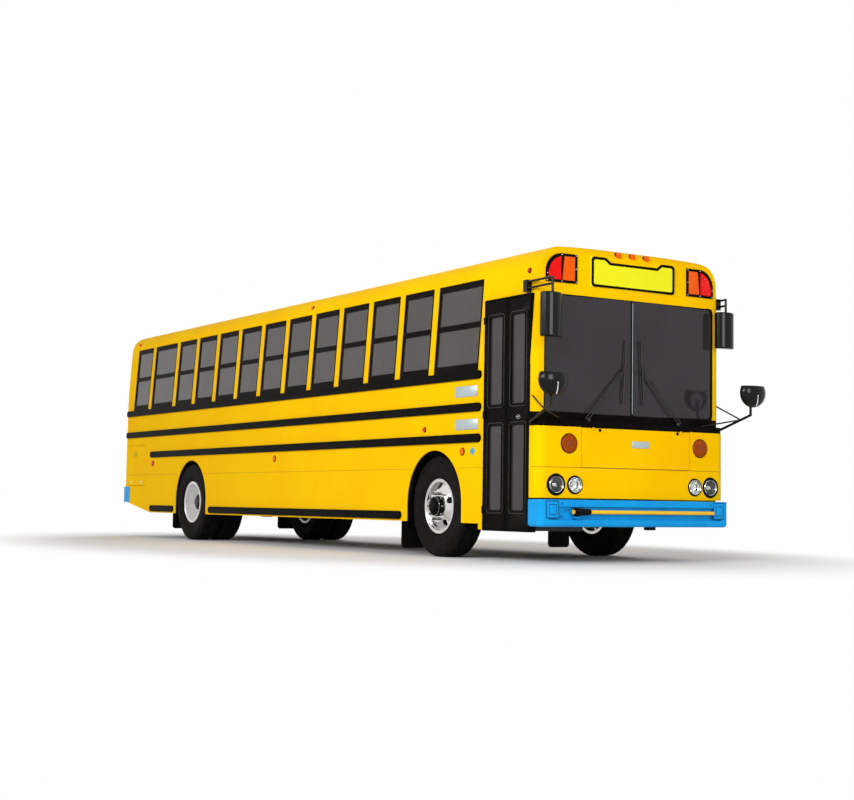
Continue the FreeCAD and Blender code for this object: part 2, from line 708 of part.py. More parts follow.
glass_shell = hull_shell("glass_shell", s.screen_x, s.screen_bow, s.glass, 14)
bar_half = 9
halves = []
for number, (low, high) in enumerate((("-screen_half + panel_gap", f"-{bar_half}"),
                                      (f"{bar_half}", "screen_half - panel_gap"))):
    halves.append(region(f"windshield_{number}", glass_shell,
                         ("screen_x - 110", low, "cowl_head_z + panel_gap"),
                         ("screen_x + 1", high, "screen_head_z - panel_gap")))
node("windshield_glass", group("windshield_glass", halves))

cowl_low = region("cowl_low", feature("cowl_solid", hull(s.nose_x, s.nose_bow, 4, s.skirt_z)),
                  ("cap_split_x", "-half_width", "nose_head_z + panel_gap"),
                  ("nose_x + 1", "half_width", "cowl_step_z"))
cowl_high = region("cowl_high", feature("cowl_solid_high", hull(s.screen_x, s.screen_bow, 0, s.skirt_z)),
                   ("cap_split_x", "-half_width", "cowl_step_z - 1"),
                   ("screen_x + 1", "half_width", "cowl_head_z - panel_gap"))
cowl_hollow = box("cowl_hollow", ("cap_split_x - 1", "-half_width + wall", "nose_head_z - 1"),
                  ("screen_x - 60", "half_width - wall", "cowl_head_z + 1"))
centre_bar = box("screen_bar", ("screen_x - 22", f"-{bar_half} + panel_gap", "cowl_head_z - 20"),
                 ("screen_x - 4", f"{bar_half} - panel_gap", "screen_head_z - panel_gap"))
cowl_body = cut("cowl_body", fuse("cowl_sum", [cowl_low, cowl_high]), cowl_hollow)

# ---------------------------------------------------------------- nose
nose = region("nose_all", lower_shell, ("cap_split_x + panel_gap", "-half_width - 1", "nose_foot_z"),
              ("nose_x + 1", "half_width + 1", "nose_head_z"))
hatch_cut = box("hatch_cut", ("nose_x - 200", "-hatch_half - seam_gap", "nose_seam_z"),
                ("nose_x + 1", "hatch_half + seam_gap", "nose_head_z + 1"))
hatch = region("hatch_panel", lower_shell, ("nose_x - 200", "-hatch_half", "nose_seam_z + seam_gap"),
               ("nose_x + 1", "hatch_half", "nose_head_z - seam_gap"))
hatch_halves, cowl_posts = [], []
for y in (-s.hatch_hinge_y, s.hatch_hinge_y):
    line_x = s.nose_x + HINGES["hatch"][1]
    door_half, post_half = hinge("hatch", (line_x, y, s.nose_head_z - s.seam_gap / 2), (0, 0, -1), (1, 0, 0),
                                 s.hatch_hinge_set, s.hatch_hinge_set)
    hatch_halves.append(feature("hatch_hinge", door_half))
    cowl_posts.append(feature("cowl_post", post_half))
node("front_hatch", fuse("front_hatch", [hatch] + hatch_halves))
node("windshield_cowl", fuse("windshield_cowl", [cowl_body, centre_bar] + cowl_posts))

# lamp table: y, z, radius, and which node it belongs to
LAMPS = [
    ("head", s.headlamp_y, s.headlamp_z, s.headlamp_radius),
    ("head", s.beam_y, s.headlamp_z, s.beam_radius),
    ("turn", s.turn_lamp_y, s.turn_lamp_z, s.turn_lamp_radius),
]


def nose_face(y):
    """X of the nose's outer face."""
    return s.nose_x - s.nose_bow * (y / s.half_width) ** 2


lamp_holes, head_lamps, amber, red = [], [], [], []
for kind, y, z, radius in LAMPS:
    for side in (-1, 1):
        face = nose_face(y)
        hole = Part.makeCylinder(radius, 300, Vector(face - 200, side * y, z), Vector(1, 0, 0))
        lamp_holes.append(feature("lamp_hole", hole))
        lens = Part.makeCylinder(radius - s.panel_gap, s.lamp_depth, Vector(face - s.lamp_depth, side * y, z),
                                 Vector(1, 0, 0))
        (head_lamps if kind == "head" else amber).append(lens)
node("nose_panel", cut_all("nose_panel", nose, [hatch_cut] + lamp_holes))
node("head_lamps", feature("head_lamps", Part.makeCompound(head_lamps)))


# ---------------------------------------------------------------- sign and warning lamps
def plate_x(points, x, depth):
    """A flat plate across the bus, from (y, z) points, from x forwards."""
    wire = Part.makePolygon([Vector(x, y, z) for y, z in points + points[:1]])
    return Part.Face(wire).extrude(Vector(depth, 0, 0))


n, h = s.sign_notch_half, s.sign_half
sign_points = [(-h, s.sign_foot_z), (h, s.sign_foot_z), (h, s.sign_head_z), (n + 60, s.sign_head_z),
               (n, s.sign_head_z - s.sign_notch), (-n, s.sign_head_z - s.sign_notch),
               (-n - 60, s.sign_head_z), (-h, s.sign_head_z)]
upper_solid = hull(s.screen_x, s.screen_bow, 0, s.skirt_z)
bezels = []


def warning_outline(side, grow, inner, outer):
    """Outline of a warning lamp between two distances from the centreline, with a round top outer corner."""
    z0, z1 = s.warning_foot_z - grow, s.warning_foot_z + s.warning_height + grow
    edge = s.warning_inner_y + s.warning_width + grow
    r = s.warning_round
    y0, y1 = inner - grow, min(outer, edge)
    points = [(y0, z0), (y1, z0)]
    steps = 10
    for k in range(steps + 1):
        a = math.radians(90 * k / steps)
        y = edge - r + r * math.cos(a)
        z = z1 - r + r * math.sin(a)
        if y0 < y <= y1:
            points.append((y, z))
    if y1 < edge - r:
        points.append((y1, z1))
    points.append((y0, z1))
    return [(side * y, z) for y, z in points]


def on_face(outline, stand, depth, rear=False):
    """A plate that follows the front or rear face of the body, standing out by a distance."""
    if rear:
        return plate_x(outline, s.body_rear_x - stand, depth)
    block = plate_x(outline, s.screen_x - 200, 400)
    outer = upper_solid.copy()
    outer.translate(Vector(stand, 0, 0))
    inner = upper_solid.copy()
    inner.translate(Vector(stand - depth, 0, 0))
    return block.common(outer).cut(inner)


split_y = s.warning_inner_y + s.warning_width / 2
for rear in (False, True):
    for side in (-1, 1):
        whole = warning_outline(side, 0, s.warning_inner_y, 1e6)
        inner_lens = warning_outline(side, -s.warning_bar, s.warning_inner_y, split_y - 5)
        outer_lens = warning_outline(side, -s.warning_bar, split_y + 5 - s.warning_bar, 1e6)
        frame = on_face(whole, 14, 13.7, rear)
        for outline, lens_list in ((inner_lens, amber), (outer_lens, red)):
            length = s.screen_x - s.body_rear_x + 2 * s.warning_round
            hole = plate_x(outline, s.body_rear_x - s.warning_round, length)
            frame = frame.cut(hole)
            lens_list.append(on_face(outline, 10, 9.7, rear))
        bezels.append(frame)
node("destination_sign", feature("destination_sign", on_face(sign_points, s.sign_depth, s.sign_depth - s.panel_gap)))

# ---------------------------------------------------------------- rear cap
tail_upper = region("tail_upper", upper_shell, ("body_rear_x - 1", "-half_width - 1", "belt_z"),
                    ("rear_split_x", "half_width + 1", "roof_z + 1"))
tail_lower = region("tail_lower", lower_shell, ("body_rear_x - 1", "-half_width - 1", "rear_bumper_foot_z + 20"),
                    ("rear_split_x", "half_width + 1", "belt_z"))
rear_window_cut = box("rear_window_cut", ("body_rear_x - 1", "-rear_window_half", "rear_window_foot_z"),
                      ("rear_split_x + 100", "rear_window_half", "rear_window_head_z"))
lid_cut = box("lid_cut", ("body_rear_x - 1", "-lid_half - seam_gap", "lid_foot_z - seam_gap"),
              ("rear_split_x + 100", "lid_half + seam_gap", "lid_head_z + seam_gap"))
tail = cut_all("tail", fuse("tail_sum", [tail_upper, tail_lower]), [rear_window_cut, lid_cut])
lid = region("engine_lid_panel", lower_shell, ("body_rear_x - 1", "-lid_half", "lid_foot_z"),
             ("body_rear_x + wall + 1", "lid_half", "lid_head_z"))
lid_halves, rear_posts = [], []
for y in (-600, 0, 600):
    line_x = s.body_rear_x - HINGES["engine"][1]
    door_half, post_half = hinge("engine", (line_x, y, s.lid_head_z + s.seam_gap / 2), (0, 0, -1), (-1, 0, 0), 0, 0)
    lid_halves.append(feature("lid_hinge", door_half))
    rear_posts.append(feature("lid_post", post_half))
node("engine_lid", fuse("engine_lid", [lid] + lid_halves))
node("rear_cap", fuse("rear_cap", [tail] + rear_posts))

TAIL_LAMPS = [  # z, radius, colour
    (s.tail_lamp_z, s.tail_lamp_radius, "red"),
    (s.tail_lamp_z - s.tail_lamp_pitch, s.tail_lamp_radius, "amber"),
    (s.tail_lamp_z - 2 * s.tail_lamp_pitch, s.tail_lamp_radius * 0.7, "red"),
]
for z, radius, colour in TAIL_LAMPS:
    for side in (-1, 1):
        lens = Part.makeCylinder(radius, s.tail_lamp_stand,
                                 Vector(s.body_rear_x - s.panel_gap, side * s.tail_lamp_y, z), Vector(-1, 0, 0))
        (red if colour == "red" else amber).append(lens)


# clearance and side marker lamps
skin = hull(s.screen_x, s.screen_bow, -s.panel_gap, s.skirt_z)


def marker(x, y, z, direction, radius, stand):
    """A round lamp on the body's skin that stands out by a distance from the point on the upright face."""
    start = Vector(x, y, z) - s.marker_depth * Vector(*direction)
    lens = Part.makeCylinder(radius, s.marker_depth + stand, start, Vector(*direction))
    return lens.cut(skin)


for y in (-s.marker_pitch, 0, s.marker_pitch):
    amber.append(marker(s.screen_x - s.marker_stand, y, s.roof_z - s.front_marker_drop, (1, 0, 0),
                        s.brow_marker_radius, s.marker_stand))
    red.append(marker(s.body_rear_x, y, s.roof_z - s.side_marker_drop, (-1, 0, 0), s.marker_radius,
                      s.marker_stand))
SIDE_MARKERS = [  # x from the datum, z, radius, stand, colour
    (s.cap_split - 110, s.roof_z - s.side_marker_drop - 110, s.marker_radius, 0, "amber"),
    (-3240, s.roof_z - s.side_marker_drop, s.marker_radius, 0, "amber"),
    (-9290, s.roof_z - s.side_marker_drop, s.marker_radius, 0, "red"),
    (-298, s.side_marker_z, s.marker_radius, s.marker_stand, "amber"),
    (480, s.reflector_z, s.reflector_radius, s.reflector_stand, "amber"),
    (-4080, s.reflector_z, s.reflector_radius, s.reflector_stand, "amber"),
    (-8380, s.reflector_z, s.reflector_radius, s.reflector_stand, "red"),
]
for x, z, radius, stand, colour in SIDE_MARKERS:
    for side in (-1, 1):
        lens = marker(s.datum_x + x, side * wall_y(z), z, (0, side, 0), radius, stand)
        (red if colour == "red" else amber).append(lens)
node("amber_lenses", feature("amber_lenses", Part.makeCompound(amber)))
node("red_lenses", feature("red_lenses", Part.makeCompound(red)))
node("warning_lamp_frames", feature("warning_lamp_frames", Part.makeCompound(bezels)))

# ---------------------------------------------------------------- rub rails
rear_end, door_end = s.body_rear_x + s.tail_radius, s.door_rear_x - s.rail_end
front_end = s.cap_split_x - 30
skirt_front = s.front_axle_x - s.arch_radius
RAILS = [  # height, right side spans, left side spans
    (s.belt_rail_z, [(rear_end, door_end)], [(rear_end, exit_low_x - 20), (exit_high_x + 60, front_end)]),
    (s.seat_rail_z, [(rear_end, door_end)], [(rear_end, exit_low_x - 20), (exit_high_x + 60, front_end)]),
    (s.floor_rail_z, [(s.rear_axle_x - 1610, door_end)],
     [(s.rear_axle_x - 1610, exit_low_x - 20), (exit_high_x + 60, front_end)]),
    (s.skirt_rail_z,
     [(s.rear_axle_x - 1570, s.rear_axle_x - s.arch_radius - 70), (s.rear_axle_x + s.arch_radius + 110,
                                                                   skirt_front - 110)],
     [(s.rear_axle_x - 1570, s.rear_axle_x - s.arch_radius - 70), (s.rear_axle_x + s.arch_radius + 110,
                                                                   skirt_front - 110)]),
]


def rub_rail(x0, x1, z, side):
    """A pressed rail with round ends."""
    r = s.rail_height / 2
    y = side * (s.half_width + s.panel_gap)
    flat = solid_box(x0 + r, x1 - r, min(y, y + side * s.rail_depth), max(y, y + side * s.rail_depth),
                     z, z + s.rail_height)
    ends = [Part.makeCylinder(r, s.rail_depth, Vector(x, y, z + r), Vector(0, side, 0)) for x in (x0 + r, x1 - r)]
    return flat.fuse(ends).removeSplitter()


side_trim = []
for z, right_spans, left_spans in RAILS:
    side_trim += [rub_rail(x0, x1, z, -1) for x0, x1 in right_spans]
    side_trim += [rub_rail(x0, x1, z, 1) for x0, x1 in left_spans]


# ---------------------------------------------------------------- bumpers
def bumper_solid(inset, front_x, bow):
    """Plan outline of the front bumper, shrunk by inset."""
    wide = s.half_width + s.bumper_stand - inset
    corner_x = front_x - bow - inset
    points = [Vector(corner_x, wide, 0), Vector(bumper_back_x, wide, 0),
              Vector(bumper_back_x, -wide, 0), Vector(corner_x, -wide, 0)]
    edges = Part.makePolygon(points).Edges
    edges.append(Part.Arc(points[3], Vector(front_x - inset, 0, 0), points[0]).toShape())
    height = s.bumper_head_z - s.bumper_foot_z
    shape = Part.Face(Part.Wire(edges)).extrude(Vector(0, 0, height))
    shape.translate(Vector(0, 0, s.bumper_foot_z))
    corner = [e for e in shape.Edges if abs(e.CenterOfMass.x - corner_x) < 1 and abs(e.Length - height) < 1]
    return shape.makeFillet(s.bumper_corner - inset, corner)


bumper_back_x = s.nose_x - s.nose_bow - s.bumper_depth
bumper_outer = bumper_solid(0, s.bumper_x, s.bumper_bow)
inner = bumper_solid(s.bumper_plate, s.bumper_x, s.bumper_bow)
channel = bumper_solid(s.bumper_recess, s.bumper_x, s.bumper_bow)
channel_y = s.half_width + s.bumper_stand - s.channel_end
ring = solid_box(bumper_back_x, s.bumper_x + 1, -channel_y, channel_y,
                 s.bumper_foot_z + s.bumper_lip, s.bumper_head_z - s.bumper_lip)
recess = bumper_outer.cut(channel).common(ring)
rounded = bumper_outer
for z, radius in ((s.bumper_foot_z, s.bumper_foot_round), (s.bumper_head_z, s.bumper_head_round)):
    rim_edges = [e for e in rounded.Edges if abs(e.BoundBox.ZMax - z) < 0.1 and abs(e.BoundBox.ZMin - z) < 0.1
                 and e.BoundBox.XMax > bumper_back_x + 1]
    rounded = rounded.makeFillet(radius, rim_edges)
arm_x = s.bumper_x + s.arm_stand
hub_foot_z = s.arm_z - s.arm_hub_height / 2
hub_head_z = s.arm_z + s.arm_hub_height / 2
plates = []
for z in (hub_foot_z - s.arm_play - s.arm_ear, hub_head_z + s.arm_play):
    ear = Part.makeCylinder(s.arm_hub_radius, s.arm_ear, Vector(arm_x, -s.arm_y, z))
    plates.append(ear.fuse(solid_box(arm_x - s.bumper_recess - s.bumper_plate, arm_x, -s.arm_y - s.arm_hub_radius,
                                     -s.arm_y + s.arm_hub_radius, z, z + s.arm_ear)))
pin_foot_z = hub_foot_z - s.arm_play - s.arm_ear
plates.append(Part.makeCylinder(s.arm_pin_radius, 2 * (s.arm_z - pin_foot_z), Vector(arm_x, -s.arm_y, pin_foot_z)))
front_bumper = rounded.cut(inner).cut(recess).fuse(plates).removeSplitter()

rear_out = solid_box(s.body_rear_x - s.rear_bumper_stand, s.body_rear_x + s.rear_bumper_wrap,
                     -s.half_width - 8, s.half_width + 8, s.rear_bumper_foot_z, s.rear_bumper_head_z)
corner = [e for e in rear_out.Edges if abs(e.CenterOfMass.x - s.body_rear_x + s.rear_bumper_stand) < 1 and
          abs(abs(e.CenterOfMass.y) - s.half_width - 8) < 1]
rear_out = rear_out.makeFillet(60, corner)
rear_in = solid_box(s.body_rear_x - s.panel_gap, s.body_rear_x + s.rear_bumper_wrap + 1,
                    -s.half_width - s.panel_gap, s.half_width + s.panel_gap,
                    s.rear_bumper_foot_z - 1, s.rear_bumper_head_z + 1)
node("bumpers", feature("bumpers", Part.makeCompound([front_bumper, rear_out.cut(rear_in)])))

# ---------------------------------------------------------------- crossing arm
arm_hub = Part.makeCylinder(s.arm_hub_radius, s.arm_hub_height, Vector(arm_x, -s.arm_y, hub_foot_z))
arm = rod((arm_x, -s.arm_y, s.arm_z), (arm_x, -s.arm_y + s.arm_length, s.arm_z), s.arm_radius)
arm_bore = Part.makeCylinder(s.arm_pin_radius + s.bore_gap, s.arm_hub_height, Vector(arm_x, -s.arm_y, hub_foot_z))
node("crossing_arm", feature("crossing_arm", arm_hub.fuse(arm).cut(arm_bore).removeSplitter()))

# ---------------------------------------------------------------- chassis
rail_boxes = []
for side in (-1, 1):
    low, high = sorted((side * s.frame_half, side * (s.frame_half - s.frame_rail_width)))
    rail_boxes.append(solid_box(s.body_rear_x + 60, s.nose_x - 260, low, high,
                                s.frame_top_z - s.frame_rail_height, s.frame_top_z))
cross_x = [s.body_rear_x + 150, s.rear_axle_x - 900, s.rear_axle_x + 900, s.rear_axle_x + 2700,
           s.datum_x - 1700, s.datum_x - 750, s.nose_x - 330]
crosses = [solid_box(x - 35, x + 35, -s.frame_half + 10, s.frame_half - 10,
                     s.frame_top_z - s.frame_rail_height + 40, s.frame_top_z - 40) for x in cross_x]
horns = [solid_box(s.nose_x - 300, s.bumper_x - s.bumper_plate - 8, y - 40, y + 40,
                   s.bumper_foot_z + 60, s.nose_foot_z - 2 * s.seam_gap) for y in (-390, 390)]
drops = [solid_box(s.nose_x - 400, s.nose_x - 300, y - 40, y + 40,
                   s.bumper_foot_z + 60, s.frame_top_z - s.frame_rail_height + 1) for y in (-390, 390)]
frame_shape = rail_boxes[0].fuse(rail_boxes[1:] + crosses + horns + drops).removeSplitter()
node("chassis_frame", feature("chassis_frame", frame_shape))

sill_x = [s.rear_axle_x - 2500, s.rear_axle_x - 1600, s.rear_axle_x - 800, s.rear_axle_x + 800,
          s.rear_axle_x + 1800, s.rear_axle_x + 2800, s.rear_axle_x + 3800, s.datum_x - 2000,
          s.datum_x - 850]
floor_edge = s.half_width - s.wall - s.panel_gap
floor_shape = solid_box(s.rear_split_x + 10, s.cap_split_x - 30, -floor_edge, floor_edge, s.floor_low_z, s.floor_z)
well_inner_y = -560
well_low_x, well_high_x = s.frame_rear_x, s.frame_front_x
floor_shape = floor_shape.cut(solid_box(well_low_x - 12, s.cap_split_x, -s.half_width, well_inner_y,
                                        s.floor_low_z - 1, s.floor_z + 1))
sills = [solid_box(x - s.sill_width / 2, x + s.sill_width / 2, -floor_edge + 5, floor_edge - 5,
                   s.frame_top_z + s.panel_gap, s.floor_low_z + 1) for x in sill_x]
node("floor_pan", feature("floor_pan", floor_shape.fuse(sills).removeSplitter()))

# ---------------------------------------------------------------- entry steps and door frame
steps = []
tread = 30
step_edge = -(s.half_width - s.wall - 45)
first_step_z = s.door_foot_z + 25
step_rise = (s.floor_z - first_step_z) / 3
step_heights = [first_step_z, first_step_z + step_rise, first_step_z + 2 * step_rise]
step_fronts = [step_edge, step_edge + 210, step_edge + 420]
ends = step_fronts[1:] + [well_inner_y]
for z, y0, y1 in zip(step_heights, step_fronts, ends):
    steps.append(solid_box(well_low_x, well_high_x, y0, y1, z - tread, z))
risers = [(step_heights[0], step_heights[1], ends[0]), (step_heights[1], step_heights[2], ends[1]),
          (step_heights[2], s.floor_z, ends[2])]
for z0, z1, y in risers:
    steps.append(solid_box(well_low_x, well_high_x, y - tread, y, z0 - tread, z1))
for x in (well_low_x - 12, well_high_x):
    steps.append(solid_box(x, x + 12, step_edge, well_inner_y, s.door_foot_z - 5, s.floor_z))
node("step_well", feature("step_well", steps[0].fuse(steps[1:]).removeSplitter()))

frame_out_y = s.half_width - 4
ring_outer = solid_box(s.frame_rear_x + s.panel_gap, s.frame_front_x - s.panel_gap, -frame_out_y, -frame_out_y + 85,
                       s.door_foot_z - s.door_frame_bar, s.door_head_z + s.door_frame_bar - s.panel_gap)
ring_inner = solid_box(s.door_rear_x, s.door_front_x, -frame_out_y - 1, -frame_out_y + 86, s.door_foot_z,
                       s.door_head_z)

# ---------------------------------------------------------------- door leaves
def leaf(x0, x1):
    """One door leaf and its two panes."""
    y0 = -frame_out_y + s.leaf_set_in
    y1 = y0 + s.leaf_thick
    z0, z1 = s.door_foot_z + s.seam_gap, s.door_head_z - s.seam_gap
    body = solid_box(x0, x1, y0, y1, z0, z1)
    lights = [(z0 + s.leaf_foot, s.leaf_waist_z), (s.leaf_waist_z + s.leaf_waist, z1 - s.leaf_head)]
    glazing = []
    for low, high in lights:
        body = body.cut(solid_box(x0 + s.leaf_stile, x1 - s.leaf_stile, y0 - 1, y1 + 1, low, high))
        g = s.pane_gap
        glazing.append(solid_box(x0 + s.leaf_stile + g, x1 - s.leaf_stile - g, y0 + 12, y0 + 12 + s.glass,
                                 low + g, high - g))
    return body, glazing


middle_x = (s.door_rear_x + s.door_front_x) / 2
entry_hinge_y = -(frame_out_y + HINGES["entry"][1])
post_reach = s.seam_gap / 2 + s.door_frame_bar - s.panel_gap
door_posts = []
LEAVES = [  # node, rear edge, front edge, hinge line, way from the hinge line to the leaf
    ("door_leaf_rear", s.door_rear_x + s.seam_gap, middle_x - s.leaf_seal / 2, s.door_rear_x + s.seam_gap / 2, 1),
    ("door_leaf_front", middle_x + s.leaf_seal / 2, s.door_front_x - s.seam_gap,
     s.door_front_x - s.seam_gap / 2, -1),
]
for name, x0, x1, line_x, way in LEAVES:
    body, glazing = leaf(x0, x1)
    for z in (s.door_foot_z + s.entry_hinge_set, (s.door_foot_z + s.door_head_z) / 2,
              s.door_head_z - s.entry_hinge_set):
        door_half, post_half = hinge("entry", (line_x, entry_hinge_y, z), (way, 0, 0), (0, -1, 0),
                                     s.leaf_set_in, 0, post_reach)
        body = body.fuse(door_half)
        door_posts.append(post_half)
    node(name, feature(name, Part.makeCompound([body.removeSplitter()] + glazing)))
node("door_frame", feature("door_frame", ring_outer.cut(ring_inner).fuse(door_posts).removeSplitter()))

# ---------------------------------------------------------------- emergency door
exit_lower = region("exit_lower", lower_shell,
                    (exit_low_x, "half_width / 2", "exit_door_foot_z"), (exit_high_x, "half_width", "belt_z"))
exit_upper = region("exit_upper", upper_shell,
                    (exit_low_x, "half_width / 2", "belt_z"), (exit_high_x, "half_width", "eave_z - 12 - seam_gap"))
exit_light = feature("exit_light", solid_box(exit_x + 20, exit_x + exit_width - 20, s.half_width - 200,
                                             s.half_width + 50, s.belt_z + 60, s.eave_z - 90))
hinge_posts = []
exit_hinge = (exit_high_x + s.seam_gap / 2, s.half_width + HINGES["exit"][1])
exit_halves = []
for z in (s.exit_door_foot_z + s.exit_hinge_set, s.belt_z - s.exit_hinge_set):
    door_half, post_half = hinge("exit", (*exit_hinge, z), (-1, 0, 0), (0, 1, 0), 0, 0)
    exit_halves.append(feature("exit_hinge", door_half))
    hinge_posts.append(post_half)
exit_panel = fuse("exit_panel", [cut("exit_leaf", fuse("exit_sum", [exit_lower, exit_upper]), exit_light)]
                  + exit_halves)
exit_pane = feature("exit_pane", solid_box(exit_x + 20 + 1, exit_x + exit_width - 20 - 1, -26, -20, 62,
                                           lean_height - 94), lean_placement(1))
node("emergency_door", group("emergency_door", [exit_panel, exit_pane]))

# ---------------------------------------------------------------- battery door
battery_panel = region("battery_panel", lower_shell,
                       ("rear_split_x + seam_gap", "-half_width", "side_door_foot_z"),
                       ("rear_split_x + seam_gap + side_door_length", "-half_width + wall", "side_door_head_z"))
battery_halves = []
for share in (0.2, 0.8):
    x = s.rear_split_x + s.seam_gap + share * s.side_door_length
    line_y = -s.half_width - HINGES["battery"][1]
    door_half, post_half = hinge("battery", (x, line_y, s.side_door_head_z + s.seam_gap / 2), (0, 0, -1),
                                 (0, -1, 0), 0, 0)
    battery_halves.append(feature("battery_hinge", door_half))
    hinge_posts.append(post_half)
node("battery_door", fuse("battery_door", [battery_panel] + battery_halves))
right_posts = [feature("right_post", post) for post in hinge_posts if post.BoundBox.YMax < 0]
left_posts = [feature("left_post", post) for post in hinge_posts if post.BoundBox.YMax > 0]
node("side_walls", group("side_walls", [fuse("right_wall", [right_wall] + right_posts),
                                        fuse("left_wall", [left_wall] + left_posts)]))

# ---------------------------------------------------------------- axles
beam_y = s.kingpin_y
eye_foot_z = s.axle_z - s.eye_height / 2
eye = [Part.makeCylinder(46, s.eye_height, Vector(s.front_axle_x, y, eye_foot_z)) for y in (-beam_y, beam_y)]
beam = solid_box(s.front_axle_x - 45, s.front_axle_x + 45, -beam_y + 150, beam_y - 150,
                 s.axle_z - 140, s.axle_z - 30)
links = [solid_box(s.front_axle_x - 40, s.front_axle_x + 40, min(y, y - math.copysign(190, y)),
                   max(y, y - math.copysign(190, y)), s.axle_z - 50, s.axle_z + 45) for y in (-beam_y, beam_y)]
beam = beam.fuse(eye + links)
for y in (-beam_y, beam_y):
    beam = beam.cut(Part.makeCylinder(s.kingpin_radius + s.bore_gap, s.eye_height + 10,
                                      Vector(s.front_axle_x, y, s.axle_z - s.eye_height / 2 - 5)))
beam = beam.removeSplitter()

wheel_y = s.track_half
rear_wheel_y = s.rear_track_half
half_gap = s.dual_spacing / 2
hub_inner_y = wheel_y - 50
rear_hub_inner_y = rear_wheel_y - half_gap - 70
front_hub_end = wheel_y + s.front_disc_set + s.disc_plate + s.hub_stand
rear_hub_end = rear_wheel_y - half_gap + s.disc_plate + s.hub_stand


def knuckle(side):
    """Kingpin, the fork that holds it, the spindle and the steering arm."""
    x, y = s.front_axle_x, side * s.kingpin_y
    half = s.eye_height / 2 + 1
    pin = Part.makeCylinder(s.kingpin_radius, 2 * half + 80, Vector(x, y, s.axle_z - half - 40))
    lugs = [Part.makeCylinder(44, 38, Vector(x, y, z)) for z in (s.axle_z + half, s.axle_z - half - 38)]
    out0, out1 = s.kingpin_y, hub_inner_y - 8
    webs = [solid_box(x - 40, x + 40, min(side * out0, side * out1), max(side * out0, side * out1), z, z + 38)
            for z in (s.axle_z + half, s.axle_z - half - 38)]
    plate0 = s.kingpin_y + 52
    plate = solid_box(x - 50, x + 50, min(side * plate0, side * out1), max(side * plate0, side * out1),
                      s.axle_z - half - 38, s.axle_z + half + 38)
    spindle = Part.makeCylinder(s.axle_bore, front_hub_end - s.hub_cap - 10 - plate0, Vector(x, side * plate0, s.axle_z),
                                Vector(0, side, 0))
    arm_part = solid_box(x - 250, x, min(side * (s.kingpin_y - 40), side * s.kingpin_y),
                         max(side * (s.kingpin_y - 40), side * s.kingpin_y), s.axle_z - half - 38,
                         s.axle_z - half)
    return pin.fuse(lugs + webs + [plate, spindle, arm_part]).removeSplitter()


node("knuckle_right", feature("knuckle_right", knuckle(-1)))
node("knuckle_left", feature("knuckle_left", knuckle(1)))
tube = Part.makeCylinder(70, 2 * rear_hub_inner_y - 20, Vector(s.rear_axle_x, -rear_hub_inner_y + 10, s.axle_z),
                         Vector(0, 1, 0))
axle_end = rear_hub_end - s.hub_cap - 10
ends_bar = Part.makeCylinder(s.axle_bore, 2 * axle_end, Vector(s.rear_axle_x, -axle_end, s.axle_z),
                             Vector(0, 1, 0))
bowl = Part.makeCylinder(210, 200, Vector(s.rear_axle_x - 100, 0, s.axle_z), Vector(1, 0, 0))
nose_cone = Part.makeCone(130, 70, 220, Vector(s.rear_axle_x - 100, 0, s.axle_z), Vector(-1, 0, 0))
housing = tube.fuse([ends_bar, bowl, nose_cone]).removeSplitter()

spring_y = s.frame_half + 45


def spring(x, side, seat, reach):
    """Leaf spring on the axle's seat with its two hangers on the frame rail."""
    low, high = sorted((side * (s.frame_half + s.panel_gap), side * (spring_y + 38)))
    pack = solid_box(x - reach, x + reach, low, high, seat, seat + 56)
    rail_foot = s.frame_top_z - s.frame_rail_height
    hangers = [solid_box(end - 30, end + 30, low, high, seat + 50, rail_foot + 90)
               for end in (x - reach + 30, x + reach - 30)]
    return pack.fuse(hangers)


AXLES = [  # node, axle, place along the bus, height of the spring seat, half length of the spring
    ("front_axle", beam, s.front_axle_x, s.axle_z - 30, 620),
    ("rear_axle", housing, s.rear_axle_x, s.axle_z + 78, 620),
]
for name, axle, x, seat, reach in AXLES:
    pads = [solid_box(x - 60, x + 60, side * spring_y - 38, side * spring_y + 38, s.axle_z - 40, seat + 20)
            for side in (-1, 1)]
    packs = [spring(x, side, seat, reach) for side in (-1, 1)]
    node(name, feature(name, axle.fuse(pads + packs).removeSplitter()))

# ---------------------------------------------------------------- wheels
TYRE = [  # radius and half width at each step of the profile, as offsets
    (s.rim_radius, 0.36), (s.rim_flange + 3, 0.37), (s.rim_radius + 45, 0.44), (s.rim_radius + 110, 0.5),
    (s.tyre_radius - 60, 0.485), (s.tyre_radius - 18, 0.44), (s.tyre_radius, 0.385),
]


def tyre(centre_y, x):
    points = [(r, share * s.tyre_width) for r, share in TYRE]
    profile = points + [(r, -y) for r, y in reversed(points)]
    return spin(profile, (x, centre_y, s.axle_z))


